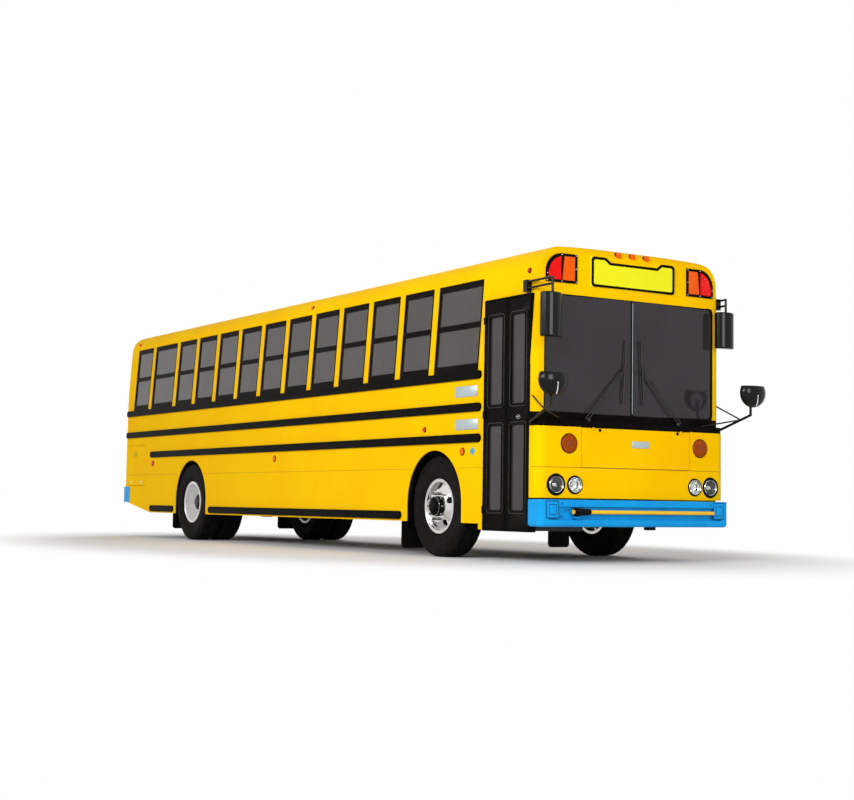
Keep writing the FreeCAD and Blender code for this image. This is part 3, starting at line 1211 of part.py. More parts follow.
def rim(centre_y, x, side, disc_low, disc_slope):
    """Rim barrel with its disc; distances along the axle are outwards from the wheel's middle."""
    half = s.rim_width / 2
    seat = s.rim_radius - s.pane_gap
    barrel = [(s.rim_flange, half - 10), (s.rim_flange, half), (seat - 20, half), (seat - 20, -half),
              (s.rim_flange, -half), (s.rim_flange, -half + 10), (seat, -half + 10), (seat, half - 10)]
    bore, edge, disc_high = s.axle_bore + s.bore_gap, seat - 19, disc_low + s.disc_plate
    disc = [(bore, disc_low), (s.disc_flat, disc_low), (edge, disc_low + disc_slope),
            (edge, disc_high + disc_slope), (s.disc_flat, disc_high), (bore, disc_high)]
    shape = spin([(r, side * y) for r, y in barrel], (x, centre_y, s.axle_z))
    shape = shape.fuse(spin([(r, side * y) for r, y in disc], (x, centre_y, s.axle_z)))
    holes = []
    for k in range(int(s.hand_holes)):
        a = math.radians(360 * k / s.hand_holes + 18)
        start = Vector(x + s.hand_hole_ring * math.cos(a), centre_y - side * s.rim_width,
                       s.axle_z + s.hand_hole_ring * math.sin(a))
        holes.append(Part.makeCylinder(s.hand_hole_radius, 2 * s.rim_width, start, Vector(0, side, 0)))
    return shape.cut(holes)


def hub(x, y0, y1, side, radius):
    """Hub with its bore, closed at the outer end."""
    low, high = sorted((side * y0, side * y1))
    shape = Part.makeCylinder(radius, high - low, Vector(x, low, s.axle_z), Vector(0, 1, 0))
    bore_end = side * (y1 - s.hub_cap)
    start = side * (y0 - 1)
    bore = Part.makeCylinder(s.axle_bore + s.bore_gap, abs(bore_end - start), Vector(x, start, s.axle_z),
                             Vector(0, side, 0))
    return shape.cut(bore)


for side, name in ((-1, "right"), (1, "left")):
    x = s.front_axle_x
    node(f"front_tyre_{name}", feature(f"front_tyre_{name}", tyre(side * wheel_y, x)))
    front_rim = rim(side * wheel_y, x, side, s.front_disc_set, -s.front_disc_drop)
    front_rim = front_rim.fuse(hub(x, hub_inner_y, front_hub_end, side, s.hub_radius))
    node(f"front_rim_{name}", feature(f"front_rim_{name}", front_rim.removeSplitter()))
    x = s.rear_axle_x
    inner_y = rear_wheel_y - s.dual_spacing
    pair = Part.makeCompound([tyre(side * rear_wheel_y, x), tyre(side * inner_y, x)])
    node(f"rear_tyres_{name}", feature(f"rear_tyres_{name}", pair))
    outer_rim = rim(side * rear_wheel_y, x, side, -half_gap, s.rear_disc_drop)
    inner_rim = rim(side * inner_y, x, side, half_gap - s.disc_plate, -s.rear_disc_drop)
    rear_hub = hub(x, rear_hub_inner_y, rear_hub_end, side, s.hub_radius + 20)
    rear_rim = outer_rim.fuse([inner_rim, rear_hub])
    node(f"rear_rims_{name}", feature(f"rear_rims_{name}", rear_rim.removeSplitter()))

# ---------------------------------------------------------------- wheel housings and mud flaps
liners = []
HOUSINGS = [  # middle, inner radius
    (s.front_axle_x, s.front_liner_radius),
    (s.rear_axle_x, s.rear_liner_radius),
]
for side in (-1, 1):
    y0, y1 = sorted((side * s.liner_inner_y, side * (s.half_width - s.wall - s.panel_gap)))
    for x, r in HOUSINGS:
        z = s.axle_z - s.liner_drop
        outer = Part.makeCylinder(r + s.liner_plate, y1 - y0, Vector(x, y0, z), Vector(0, 1, 0))
        inner = Part.makeCylinder(r, y1 - y0 + 2, Vector(x, y0 - 1, z), Vector(0, 1, 0))
        upper = solid_box(x - r - s.liner_plate, x + r + s.liner_plate, y0, y1, s.axle_z + 30,
                          s.floor_low_z - s.panel_gap)
        liners.append(outer.cut(inner).common(upper))

rail_foot_z = s.frame_top_z - s.frame_rail_height
FLAPS = [  # x, inner edge, foot
    (s.front_axle_x - s.front_flap_set, s.front_flap_inner_y, s.front_flap_foot_z),
    (s.rear_axle_x - s.rear_flap_set, s.rear_flap_inner_y, s.rear_flap_foot_z),
]
flaps = []
for side in (-1, 1):
    for x, inner_y, foot in FLAPS:
        x0, x1 = x - s.flap_plate / 2, x + s.flap_plate / 2
        y0, y1 = sorted((side * inner_y, side * (s.half_width - s.wall - 12)))
        flap = solid_box(x0, x1, y0, y1, foot, rail_foot_z)
        flap = flap.makeFillet(s.flap_corner, [e for e in flap.Edges if abs(e.Length - s.flap_plate) < 0.1
                                               and e.CenterOfMass.z < foot + 1])
        y0, y1 = sorted((side * (s.frame_half + s.panel_gap), side * (inner_y + s.flap_corner)))
        stay = solid_box(x0, x1, y0, y1, rail_foot_z - 40, rail_foot_z + 20)
        flaps.append(flap.fuse(stay).removeSplitter())
node("wheel_housings", feature("wheel_housings", Part.makeCompound(liners)))
node("mud_flaps", feature("mud_flaps", Part.makeCompound(flaps)))

# ---------------------------------------------------------------- engine and fuel
node("engine_block", box("engine_block", ("body_rear_x + 300", "-frame_half + frame_rail_width", "frame_top_z - 470"),
                         ("body_rear_x + 1450", "frame_half - frame_rail_width", "frame_top_z - 10")))
tanks = []
tank_x0, tank_x1 = s.rear_axle_x + 950, s.datum_x - 1150
tank_middle = (tank_x0 + tank_x1) / 2
tank_z = rail_foot_z - 10
for side in (-1, 1):
    y = side * s.tank_y
    for x0, x1 in ((tank_x0, tank_middle - s.tank_space / 2), (tank_middle + s.tank_space / 2, tank_x1)):
        shell = Part.makeCylinder(s.tank_radius, x1 - x0, Vector(x0, y, tank_z), Vector(1, 0, 0))
        ends = [e for e in shell.Edges if e.Length > 1000 and e.isClosed()]
        shell = shell.makeFillet(s.tank_end_radius, ends)
        straps = []
        for x in (x0 + s.strap_set, x1 - s.strap_set):
            low_x, high_x = x - s.strap_width / 2, x + s.strap_width / 2
            y0, y1 = sorted((side * (s.frame_half + s.panel_gap), y))
            straps.append(solid_box(low_x, high_x, y0, y1, rail_foot_z + 20, s.frame_top_z - 30))
            straps.append(Part.makeCylinder(s.tank_radius + s.strap_plate, s.strap_width,
                                            Vector(low_x, y, tank_z), Vector(1, 0, 0)))
        tanks.append(shell.fuse(straps).removeSplitter())
node("fuel_cylinders", feature("fuel_cylinders", Part.makeCompound(tanks)))

# ---------------------------------------------------------------- cabin
seats = []
back_lean = 12
for row in range(int(s.seat_rows)):
    x = s.rear_axle_x - 2250 + row * s.seat_pitch
    for side in (-1, 1):
        y0, y1 = sorted((side * s.seat_inner_y, side * (s.seat_inner_y + s.seat_width)))
        cushion = solid_box(x + 60, x + 460, y0, y1, s.floor_z + 330, s.floor_z + 450)
        back = solid_box(0, 95, y0, y1, 0, 640)
        back.rotate(Vector(), Vector(0, 1, 0), -back_lean)
        back.translate(Vector(x + 40, 0, s.floor_z + 340))
        legs = [solid_box(x + leg_x, x + leg_x + 35, leg_y, leg_y + 35, s.floor_z + s.panel_gap, s.floor_z + 340)
                for leg_x in (110, 380) for leg_y in (y0 + 60, y1 - 95)]
        seats.append(cushion.fuse([back] + legs).removeSplitter())

seat_x, seat_y = s.datum_x + 720, 560
pedestal = solid_box(seat_x + 90, seat_x + 390, seat_y - 150, seat_y + 150, s.floor_z + s.panel_gap,
                     s.floor_z + 330)
cushion = solid_box(seat_x, seat_x + 480, seat_y - 250, seat_y + 250, s.floor_z + 330, s.floor_z + 450)
back = solid_box(0, 110, seat_y - 240, seat_y + 240, 0, 760)
back.rotate(Vector(), Vector(0, 1, 0), -10)
back.translate(Vector(seat_x - 10, 0, s.floor_z + 400))
seats.append(pedestal.fuse([cushion, back]).removeSplitter())
node("seats", feature("seats", Part.makeCompound(seats)))

dash = solid_box(s.cap_split_x - 230, s.cap_split_x - 35, -420, floor_edge - 25, s.floor_z + s.panel_gap,
                 s.floor_z + 480)
wheel = Part.makeTorus(225, 16)
spokes = [Part.makeCylinder(10, 440, Vector(-220, 0, 0), Vector(1, 0, 0)),
          Part.makeCylinder(10, 225, Vector(), Vector(0, 1, 0)),
          Part.makeCylinder(60, 40, Vector(0, 0, -20))]
column = Part.makeCylinder(32, 420, Vector(0, 0, -430))
wheel = wheel.fuse(spokes + [column])
wheel.rotate(Vector(), Vector(0, 1, 0), -28)
wheel.translate(Vector(s.cap_split_x - 370, seat_y, s.floor_z + 720))
node("dashboard", feature("dashboard", dash.fuse(wheel).removeSplitter()))

# ---------------------------------------------------------------- mirrors
fx = s.datum_x
cross_heads, cross_arms = [], []
for side in (-1, 1):
    cx, cy, cz = fx + s.cross_mirror_x, side * s.cross_mirror_y, s.cross_mirror_z
    dome = Part.makeSphere(1)
    stretch = FreeCAD.Matrix()
    stretch.scale(s.cross_mirror_depth, s.cross_mirror_half, s.cross_mirror_height / 2 + s.cross_mirror_drop)
    dome = dome.transformGeometry(stretch)
    dome.translate(Vector(cx, cy, cz + s.cross_mirror_drop))
    half_z = s.cross_mirror_height / 2
    dome = dome.common(solid_box(cx - 10, cx + s.cross_mirror_depth, cy - s.cross_mirror_half,
                                 cy + s.cross_mirror_half, cz - half_z, cz + half_z))
    cross_heads.append(dome)
    elbow = (cx - 14 - s.mirror_rod, cy, cz - 190)
    foot = (s.cap_split_x + 25, side * (s.half_width + 8), s.cowl_step_z - 27)
    top = (cx - 14 - s.mirror_rod, cy, cz)
    stay_z = s.cowl_head_z + 160
    stay = (s.cap_split_x + 15, side * (wall_y(stay_z) - 20), stay_z)
    brace = (s.nose_x - 60, side * 905, s.cowl_step_z + 5)
    joint_point = tuple(a + 0.30 * (b - a) for a, b in zip(elbow, foot))
    cross_arms.append(bent_rod([top, elbow, foot], s.mirror_rod).fuse([
        rod(joint_point, stay, 8), rod(joint_point, brace, 8), rod(foot, (foot[0], side * 1200, foot[2]), 20),
        rod(top, (cx + 10, cy, cz), 9)]))
upper_heads, upper_arms = [], []
MIRRORS = [  # side, head x from the datum, head y, head top z, head height, bracket x from the datum, bracket z
    (-1, 2050, 1200, s.roof_z - 550, s.mirror_height, 1610, s.roof_z - 455),
    (1, 1880, 1200, s.roof_z - 550, s.left_mirror_height, 1740, s.roof_z - 465),
]
for side, x, y, top_z, height, bracket_x, bracket_z in MIRRORS:
    x1 = fx + x + s.mirror_depth / 2
    head = solid_box(x1 - s.mirror_depth, x1, side * y - s.mirror_width / 2, side * y + s.mirror_width / 2,
                     top_z - height, top_z)
    bulge = Part.makeCylinder(s.mirror_bulge, height, Vector(x1 - s.mirror_bulge, side * y, top_z - height))
    head = head.common(bulge)
    upper_heads.append(head.makeFillet(s.mirror_edge, head.Edges))
    seat_y0 = wall_y(bracket_z + 40)
    y0, y1 = sorted((side * seat_y0, side * (seat_y0 + 60)))
    x0, x1 = fx + bracket_x - 35, fx + bracket_x + 35
    bracket_block = solid_box(x0, x1, y0, y1, bracket_z - 50, bracket_z + 70)
    out_y = side * (seat_y0 + 45)
    arms = [bent_rod([(fx + bracket_x, out_y, z), (fx + x, side * y, z + 5)], 12)
            for z in (bracket_z - 15, bracket_z + 50)]
    post = rod((fx + x, side * y, bracket_z + 60), (fx + x, side * y, top_z + 0.3), 13)
    upper_arms.append(bracket_block.fuse(arms + [post]).removeSplitter())
lower_body = hull(s.nose_x, s.nose_bow, 4 - s.panel_gap, s.skirt_z)
lower_body = lower_body.common(solid_box(s.cap_split_x, s.nose_x + 1, -s.half_width, s.half_width,
                                         s.skirt_z, s.cowl_step_z + s.panel_gap))
mirrors = [head.fuse(arms).cut(skin).cut(lower_body).removeSplitter()
           for head, arms in zip(cross_heads + upper_heads, cross_arms + upper_arms)]
node("mirrors", feature("mirrors", Part.makeCompound(mirrors)))

# ---------------------------------------------------------------- wipers
wipers = []
for side in (-1, 1):
    pivot = Vector(s.screen_x + 30, side * s.wiper_y, s.cowl_step_z + 24)
    clip = Vector(s.screen_x + 26, side * 120, s.cowl_head_z + 465)
    blade = [(s.screen_x + 14, side * 95, s.cowl_head_z + 780), (s.screen_x + 14, side * 135, s.cowl_head_z + 110)]
    aside = Vector(0, side * s.wiper_space, 0)
    across = Vector(0, side * 22, 0)
    pieces = [rod(pivot, clip, s.wiper_rod), rod(pivot + aside, clip + aside / 4, s.wiper_rod),
              rod(pivot, pivot + aside, s.wiper_rod + 3), rod(clip - across, clip + across, s.wiper_rod + 4),
              rod(blade[0], blade[1], s.wiper_rod + 1)]
    foot = rod((pivot.x, pivot.y, s.cowl_step_z + s.panel_gap), pivot, 18)
    wipers.append(foot.fuse(pieces).removeSplitter())
node("wipers", feature("wipers", Part.makeCompound(wipers)))

# ---------------------------------------------------------------- stop sign
stop_x, stop_z = fx + 560, s.belt_z - s.stop_sign_drop
hinge_x = stop_x + s.stop_sign_across / 2 + 45
face_y = s.half_width + s.rail_depth + 14
hinge_y = face_y + s.stop_sign_plate / 2
plate_y0, plate_y1 = face_y + 1, face_y + s.stop_sign_plate - 1
half = s.stop_hinge_half
radius = s.stop_sign_across / 2 / math.cos(math.radians(22.5))
octagon = [Vector(stop_x + radius * math.cos(math.radians(22.5 + 45 * k)), face_y,
                  stop_z + radius * math.sin(math.radians(22.5 + 45 * k))) for k in range(8)]
plate = Part.Face(Part.makePolygon(octagon + octagon[:1])).extrude(Vector(0, s.stop_sign_plate, 0))
strap = solid_box(stop_x + s.stop_sign_across / 2 - 30, hinge_x, plate_y0, plate_y1, stop_z - half, stop_z + half)
barrel = Part.makeCylinder(s.stop_barrel_radius, 2 * half, Vector(hinge_x, hinge_y, stop_z - half))
stop_bore = Part.makeCylinder(s.stop_pin_radius + s.bore_gap, 2 * half, Vector(hinge_x, hinge_y, stop_z - half))
sign_arm = plate.fuse([strap, barrel]).cut(stop_bore)
node("stop_sign", feature("stop_sign", sign_arm.removeSplitter()))
ear = 18
ear_z = half + s.hinge_clear
pin_z = ear_z + ear
y0, y1 = face_y - 6, face_y + s.stop_sign_plate + 6
stop_pin = Part.makeCylinder(s.stop_pin_radius, 2 * pin_z, Vector(hinge_x, hinge_y, stop_z - pin_z))
base = solid_box(hinge_x + 22, hinge_x + 120, s.half_width + s.panel_gap, s.half_width + 60, stop_z - 100,
                 stop_z + 100)
ears = [solid_box(hinge_x - 12, hinge_x + 40, y0, y1, z, z + ear) for z in (stop_z - pin_z, stop_z + ear_z)]
web = solid_box(hinge_x + 22, hinge_x + 40, y0, y1, stop_z - pin_z, stop_z + pin_z)
side_trim.append(base.fuse([stop_pin, web] + ears).removeSplitter())
node("side_trim", feature("side_trim", Part.makeCompound(side_trim)))

# ---------------------------------------------------------------- check and write
doc.recompute()
for thing in doc.Objects:
    if "Invalid" in thing.State or "Error" in thing.State:
        raise SystemExit(f"{thing.Label} failed: {thing.State}")
os.makedirs("parts", exist_ok=True)
for thing in nodes:
    shape = thing.Shape
    if shape.isNull() or not shape.isValid() or not shape.Solids:
        raise SystemExit(f"{thing.Label} has no valid solid")
    shape.exportStep(f"parts/{thing.Label}.step")
print(len(nodes), "nodes written")
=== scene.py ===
"""A flat-fronted school bus dressed on its CAD frame: finishes for every node, and the detailed pieces."""
import math

import bmesh
import bpy
from mathutils import Matrix, Vector


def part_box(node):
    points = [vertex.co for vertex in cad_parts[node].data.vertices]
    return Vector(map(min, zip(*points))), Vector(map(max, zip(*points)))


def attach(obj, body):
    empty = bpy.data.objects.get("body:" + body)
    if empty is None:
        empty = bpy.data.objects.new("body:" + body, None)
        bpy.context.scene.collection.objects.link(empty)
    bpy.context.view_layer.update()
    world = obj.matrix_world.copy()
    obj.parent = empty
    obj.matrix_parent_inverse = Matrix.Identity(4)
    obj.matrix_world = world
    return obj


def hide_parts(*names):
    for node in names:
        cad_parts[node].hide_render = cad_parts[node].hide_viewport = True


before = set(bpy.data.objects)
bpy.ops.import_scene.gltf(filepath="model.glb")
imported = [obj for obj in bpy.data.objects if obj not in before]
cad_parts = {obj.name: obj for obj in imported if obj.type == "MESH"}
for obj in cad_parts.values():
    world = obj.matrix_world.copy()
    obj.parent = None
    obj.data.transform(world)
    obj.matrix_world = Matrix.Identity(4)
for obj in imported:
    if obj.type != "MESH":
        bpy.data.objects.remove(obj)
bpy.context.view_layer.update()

scene = bpy.context.scene
MM = 0.001
SIDES = {-1: "right", 1: "left"}


# ---- finishes
def srgb(hex_colour):
    """An sRGB hex colour as linear RGBA."""
    channels = [int(hex_colour[i:i + 2], 16) / 255 for i in (0, 2, 4)]
    return [c / 12.92 if c <= 0.04045 else ((c + 0.055) / 1.055) ** 2.4 for c in channels] + [1.0]


def add(tree, kind, links=(), **settings):
    """Adds a node. Settings are its attributes or its sockets' values; links are (source, own input)."""
    node = tree.nodes.new("ShaderNode" + kind)
    for key, value in settings.items():
        if hasattr(node, key):
            setattr(node, key, value)
        else:
            node.inputs[key.replace("_", " ")].default_value = value
    for source, target in links:
        tree.links.new(source, node.inputs[target])
    return node


FINISHES = {}            # name: (material, slot in the record)


def finish(name, slot, light, dark, patch_mm, roughness, spread=0.05, metallic=0.0, bump=None,
           pattern="Noise", shine=0.5, **sockets):
    """A finish whose colour and roughness drift between two tones in patches of patch_mm.

    bump is (feature size in mm, depth in mm, strength) of the pattern; other sockets are set by name.
    Grain and polishing lines that would be too fine to show are drawn coarser than the real ones."""
    material = bpy.data.materials.new(name)
    material.use_nodes = True
    tree = material.node_tree
    shader = tree.nodes["Principled BSDF"]
    for key, value in dict(sockets, Metallic=metallic, Specular_IOR_Level=shine).items():
        shader.inputs[key.replace("_", " ")].default_value = value
    place = add(tree, "TexCoord").outputs["Object"]
    patches = add(tree, "TexNoise", [(place, "Vector")], Scale=1 / (patch_mm * MM), Detail=4.0)
    tones = add(tree, "ValToRGB", [(patches.outputs["Fac"], "Fac")])
    for stop, position, colour in zip(tones.color_ramp.elements, (0.35, 0.65), (dark, light)):
        stop.position, stop.color = position, srgb(colour)
    tree.links.new(tones.outputs["Color"], shader.inputs["Base Color"])
    gloss = add(tree, "MapRange", [(patches.outputs["Fac"], "Value")], To_Min=max(0, roughness - spread),
                To_Max=roughness + spread)
    tree.links.new(gloss.outputs["Result"], shader.inputs["Roughness"])
    if bump:
        size_mm, depth_mm, strength = bump
        texture = add(tree, "Tex" + pattern, [(place, "Vector")], Scale=1 / (size_mm * MM))
        height = texture.outputs["Distance" if pattern == "Voronoi" else "Fac"]
        relief = add(tree, "Bump", [(height, "Height")], Strength=strength, Distance=depth_mm * MM)
        tree.links.new(relief.outputs["Normal"], shader.inputs["Normal"])
    FINISHES[name] = material, slot
    return material


# Baked enamel sprayed on sheet steel: a deep even yellow with soft gloss and a trace of orange peel.
finish("yellow_enamel", "body_yellow", "FFCA00", "FDC200", 900, 0.52, 0.03, bump=(9, 0.05, 0.1), shine=0.02)
# The same enamel darkened with painted shade, for a seam or a pressed groove: the darker line between two
# panels.
finish("yellow_groove_shade", "body_yellow", "B87C00", "A87000", 300, 0.5, bump=(6, 0.1, 0.2), shine=0.2)
# Semi-gloss black enamel on pressed rails and frames: long soft highlights.
finish("black_enamel", "black_trim", "110F0D", "0A0908", 160, 0.34, bump=(5, 0.06, 0.15), shine=0.015)
# High-gloss black shells of the mirrors: long bright streaks over deep black.
finish("gloss_black", "black_trim", "0A0909", "060606", 200, 0.16, 0.03, bump=(8, 0.03, 0.05), shine=0.2)
# Satin black moulding round the door glass: a lighter grey than the black enamel, a painted highlight for the
# thin grey light along its edge, over a real satin shine.
finish("satin_black_highlight", "black_trim", "2E2B2A", "232120", 120, 0.28, 0.05, bump=(5, 0.05, 0.1), shine=0.3)
# Blue enamel on thick plate: a little uneven, with broad highlights.
finish("blue_enamel", "bumper_blue", "14A2EC", "1099E2", 260, 0.3, bump=(14, 0.1, 0.15), shine=0.1)
# The same blue darkened with painted shade, where plates overlap and little light comes in: the pad frames
# and the bolt holes.
finish("blue_shade", "bumper_blue", "0C5E96", "0A5588", 120, 0.4, bump=(10, 0.1, 0.15), shine=0.1)
# Reflective sheeting under clear film: flat lemon yellow with a faint honeycomb.
finish("lemon_sheeting", "sign_yellow", "F2EE22", "F0EB1E", 300, 0.45, 0.02,
       bump=(4, 0.02, 0.05), pattern="Voronoi", shine=0.1)
# Privacy glass: grey right through, smooth as a mirror on its face.
finish("grey_glass", "tinted_glass", "6C6664", "645E5C", 700, 0.03, 0.01, Transmission_Weight=0.7, IOR=1.4)
# The door's privacy glass: its grey tint darkened with painted shade of the unlit stairwell behind it.
finish("door_glass", "black_trim", "3E3A3B", "373333", 500, 0.03, 0.01, Transmission_Weight=0.15, IOR=1.35)
# Laminated screen glass, tinted grey: darker, as it is thicker.
finish("screen_glass", "clear_glass", "3C383B", "343033", 900, 0.09, 0.01, Transmission_Weight=0.35, IOR=1.35)
# Carbon-black tyre rubber with a dusty bloom: no highlights, only a pale sheen on the ribs.
finish("tyre_rubber", "tyre", "1D1B1A", "131211", 60, 0.6, 0.08, bump=(3, 0.15, 0.3), shine=0.025)
# Moulded EPDM rubber in seals, gaskets and flaps: dull black with a skin.
finish("seal_rubber", "rubber", "121110", "0C0B0B", 90, 0.5, 0.06, bump=(5, 0.1, 0.2), shine=0.04)
# Forged aluminium, machined and polished: bright, with the faint lines of the polishing wheel.
finish("polished_aluminium", "polished_wheel", "DCDBD9", "D0CFCD", 40, 0.17, 0.05, 1.0, bump=(2, 0.02, 0.08))
# Aluminium left satin from the lathe: spreads the light, so that it reads nearly white.
finish("satin_aluminium", "polished_wheel", "F4F3F1", "E6E5E3", 40, 0.42, 0.05, 0.5, bump=(2, 0.02, 0.08))
# Chromed steel: nuts, bezels and locks that mirror their surroundings.
finish("chrome", "polished_wheel", "E6E6E6", "DEDEDE", 50, 0.07, 0.03, 1.0, bump=(3, 0.01, 0.05))
# Black-chromed steel of the front wheel nuts: dark, with small hard highlights.
finish("black_chrome", "polished_wheel", "4A4846", "3A3836", 30, 0.16, 0.04, 1.0, bump=(3, 0.01, 0.05))
# Smoked chrome in a lamp bowl: a dark mirror.
finish("smoked_chrome", "lamp_glass", "3A3B3D", "2E2F31", 30, 0.12, 0.04, 1.0, bump=(8, 0.4, 0.25))
# Vapour-plated reflector: bright and faceted.
finish("bright_reflector", "lamp_glass", "F2F2F0", "E8E8E6", 25, 0.16, 0.05, 1.0,
       bump=(11, 0.8, 0.35), pattern="Voronoi")
# Clear pressed lamp glass: shows the bowl behind it, with a thin bright edge.
finish("pressed_glass", "lamp_glass", "F6F8F8", "F1F4F4", 60, 0.02, 0.01, Transmission_Weight=1.0, IOR=1.35)
# Chassis black over rolled steel: satin, with dust in the corners.
finish("chassis_paint", "chassis_black", "151413", "0A0A0A", 120, 0.52, 0.1, bump=(6, 0.3, 0.35), shine=0.04)
# Cast iron with an oily film: rough grain, uneven gloss.
finish("cast_iron", "axle_grey", "34312E", "1E1C1A", 50, 0.48, 0.12, 0.5, bump=(4, 0.5, 0.5))
# Moulded acrylic lenses, amber and red: pure strong colour under a hard shine.
finish("amber_acrylic", "amber_lens", "F56400", "EC5A00", 30, 0.12, 0.03,
       bump=(22, 0.6, 0.25), pattern="Wave", shine=0.12)
finish("red_acrylic", "red_lens", "F01414", "E40D0D", 30, 0.12, 0.03,
       bump=(22, 0.6, 0.25), pattern="Wave", shine=0.12)
# Amber lens over an unlit bowl: a darker copy of the amber, brown with painted shade of the bowl's depth.
finish("amber_shade", "amber_lens", "A84600", "963C00", 30, 0.16, 0.03,
       bump=(22, 0.6, 0.25), pattern="Wave", shine=0.06)
# Deep orange lenses of the marker lamps: dark at the rim, with one hard highlight.
finish("marker_acrylic", "amber_lens", "B83206", "A42B05", 20, 0.14, 0.03,
       bump=(9, 0.5, 0.25), pattern="Wave", shine=0.15)
# Darker amber where the bulb's cap stands behind the lens.
finish("amber_core", "amber_lens", "8A3300", "6E2800", 15, 0.15, 0.04, bump=(9, 0.6, 0.3), pattern="Voronoi")
# Seat vinyl, embossed like leather: satin blue-grey.
finish("embossed_vinyl", "seat_vinyl", "2C3A4E", "233042", 80, 0.5, 0.06, bump=(4, 0.25, 0.4),
       pattern="Voronoi")
# Moulded dashboard plastic with a sand texture: dull, no highlights.
finish("grained_plastic", "dash_plastic", "252527", "1A1A1C", 60, 0.6, 0.06, bump=(3, 0.2, 0.4),
       pattern="Voronoi")
# Ribbed rubber flooring, scuffed along the aisle.
finish("floor_rubber", "floor_grey", "2D2E2F", "1E1F20", 200, 0.64, 0.08, bump=(24, 0.8, 0.4), pattern="Wave")
# Painted gas cylinders: light grey, slightly orange-peeled.
finish("cylinder_paint", "cylinder_grey", "A4A7A5", "8D908E", 150, 0.4, 0.08, bump=(5, 0.1, 0.2))
# Reflective sheeting on the stop sign, red and white: flat, with a faint honeycomb.
finish("red_sheeting", "stop_red", "D01818", "C21010", 60, 0.4, 0.05,
       bump=(4, 0.05, 0.2), pattern="Voronoi", shine=0.1)
finish("white_sheeting", "stop_red", "EFEFEC", "E6E6E3", 60, 0.38, 0.05, bump=(4, 0.05, 0.2),
       pattern="Voronoi")
# Brushed aluminium of the badge plates: pale, with fine lines.
finish("badge_aluminium", "polished_wheel", "B9C6C8", "A9B6B9", 20, 0.3, 0.06, 0.7,
       bump=(2, 0.05, 0.2), pattern="Wave")
# Gloss yellow plastic of the arm's tube: one long soft highlight.
finish("arm_gloss", "arm_yellow", "FFCB0C", "FCC408", 120, 0.3, 0.05, bump=(8, 0.1, 0.12))
# Printed vinyl film of the fuel marking: flat blue.
finish("blue_film", "bumper_blue", "4FA3C4", "4597BA", 20, 0.35, 0.04, bump=(6, 0.03, 0.1))

NODE_FINISHES = {
    "yellow_enamel": "side_walls window_walls roof_shell front_cap front_hatch nose_panel rear_cap "
                     "engine_lid emergency_door battery_door",
    "black_enamel": "window_frames windshield_cowl warning_lamp_frames side_trim door_frame door_leaf_rear "
                    "door_leaf_front",
    # The wipers take the grey moulding finish: a painted highlight along them.
    "gloss_black": "mirrors", "satin_black_highlight": "wipers", "grey_glass": "window_glass",
    "screen_glass": "windshield_glass", "lemon_sheeting": "destination_sign", "pressed_glass": "head_lamps",
    "amber_acrylic": "amber_lenses", "red_acrylic": "red_lenses", "blue_enamel": "bumpers",
    "arm_gloss": "crossing_arm", "chassis_paint": "chassis_frame wheel_housings",
    "floor_rubber": "floor_pan step_well",
    "cast_iron": "front_axle rear_axle knuckle_right knuckle_left engine_block",
    "tyre_rubber": "front_tyre_right front_tyre_left rear_tyres_right rear_tyres_left",
    "polished_aluminium": "front_rim_right front_rim_left",
    "satin_aluminium": "rear_rims_right rear_rims_left",
    "seal_rubber": "mud_flaps", "cylinder_paint": "fuel_cylinders", "embossed_vinyl": "seats",
    "grained_plastic": "dashboard", "red_sheeting": "stop_sign",
}
for finish_name, nodes in NODE_FINISHES.items():
    for node in nodes.split():
        cad_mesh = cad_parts[node].data
        cad_mesh.materials.clear()
        cad_mesh.materials.append(FINISHES[finish_name][0])


# ---- shaping tools
def settle(name, shape, finish_name, body="bus_body", stands_for=(), sharp=35):
    """Ends a bmesh as a finished piece: closed, facing outwards, in its finish and riding on its body."""
    material, slot = FINISHES[finish_name]
    bmesh.ops.remove_doubles(shape, verts=shape.verts, dist=0.00002)
    bmesh.ops.recalc_face_normals(shape, faces=shape.faces)
    mesh = bpy.data.meshes.new(name)
    shape.to_mesh(mesh)
    shape.free()
    mesh.shade_smooth()
    mesh.set_sharp_from_angle(angle=math.radians(sharp))
    mesh.materials.append(material)
    piece = bpy.data.objects.new(name, mesh)
    scene.collection.objects.link(piece)
    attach(piece, body)
    if stands_for:
        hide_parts(*stands_for)
    return piece


def blanks(count):
    """As many empty bmeshes."""
    return [bmesh.new() for _ in range(count)]


def take_in(shape, part):
    """Moves one bmesh's faces into another."""
    mesh = bpy.data.meshes.new("part")
    part.to_mesh(mesh)
    part.free()
    shape.from_mesh(mesh)
    bpy.data.meshes.remove(mesh)


def polar(radius, degrees):
    """The two coordinates of a point on a circle."""
    angle = math.radians(degrees)
    return radius * math.cos(angle), radius * math.sin(angle)


def round_off(shape, edges, width):
    """Rounds edges of a bmesh."""
    bmesh.ops.bevel(shape, geom=edges, offset=width, offset_type="OFFSET", segments=2, profile=0.5,
                    affect="EDGES", material=-1)


def block(shape, low, high, edge=0.0):
    """A box between two corners, with its edges rounded."""
    low, high = Vector(map(min, low, high)), Vector(map(max, low, high))
    corners = bmesh.ops.create_cube(shape, size=1)["verts"]
    bmesh.ops.scale(shape, vec=high - low, verts=corners)
    bmesh.ops.translate(shape, vec=(low + high) / 2, verts=corners)
    if edge:
        edges = list({e for v in corners for e in v.link_edges})
        round_off(shape, edges, edge)


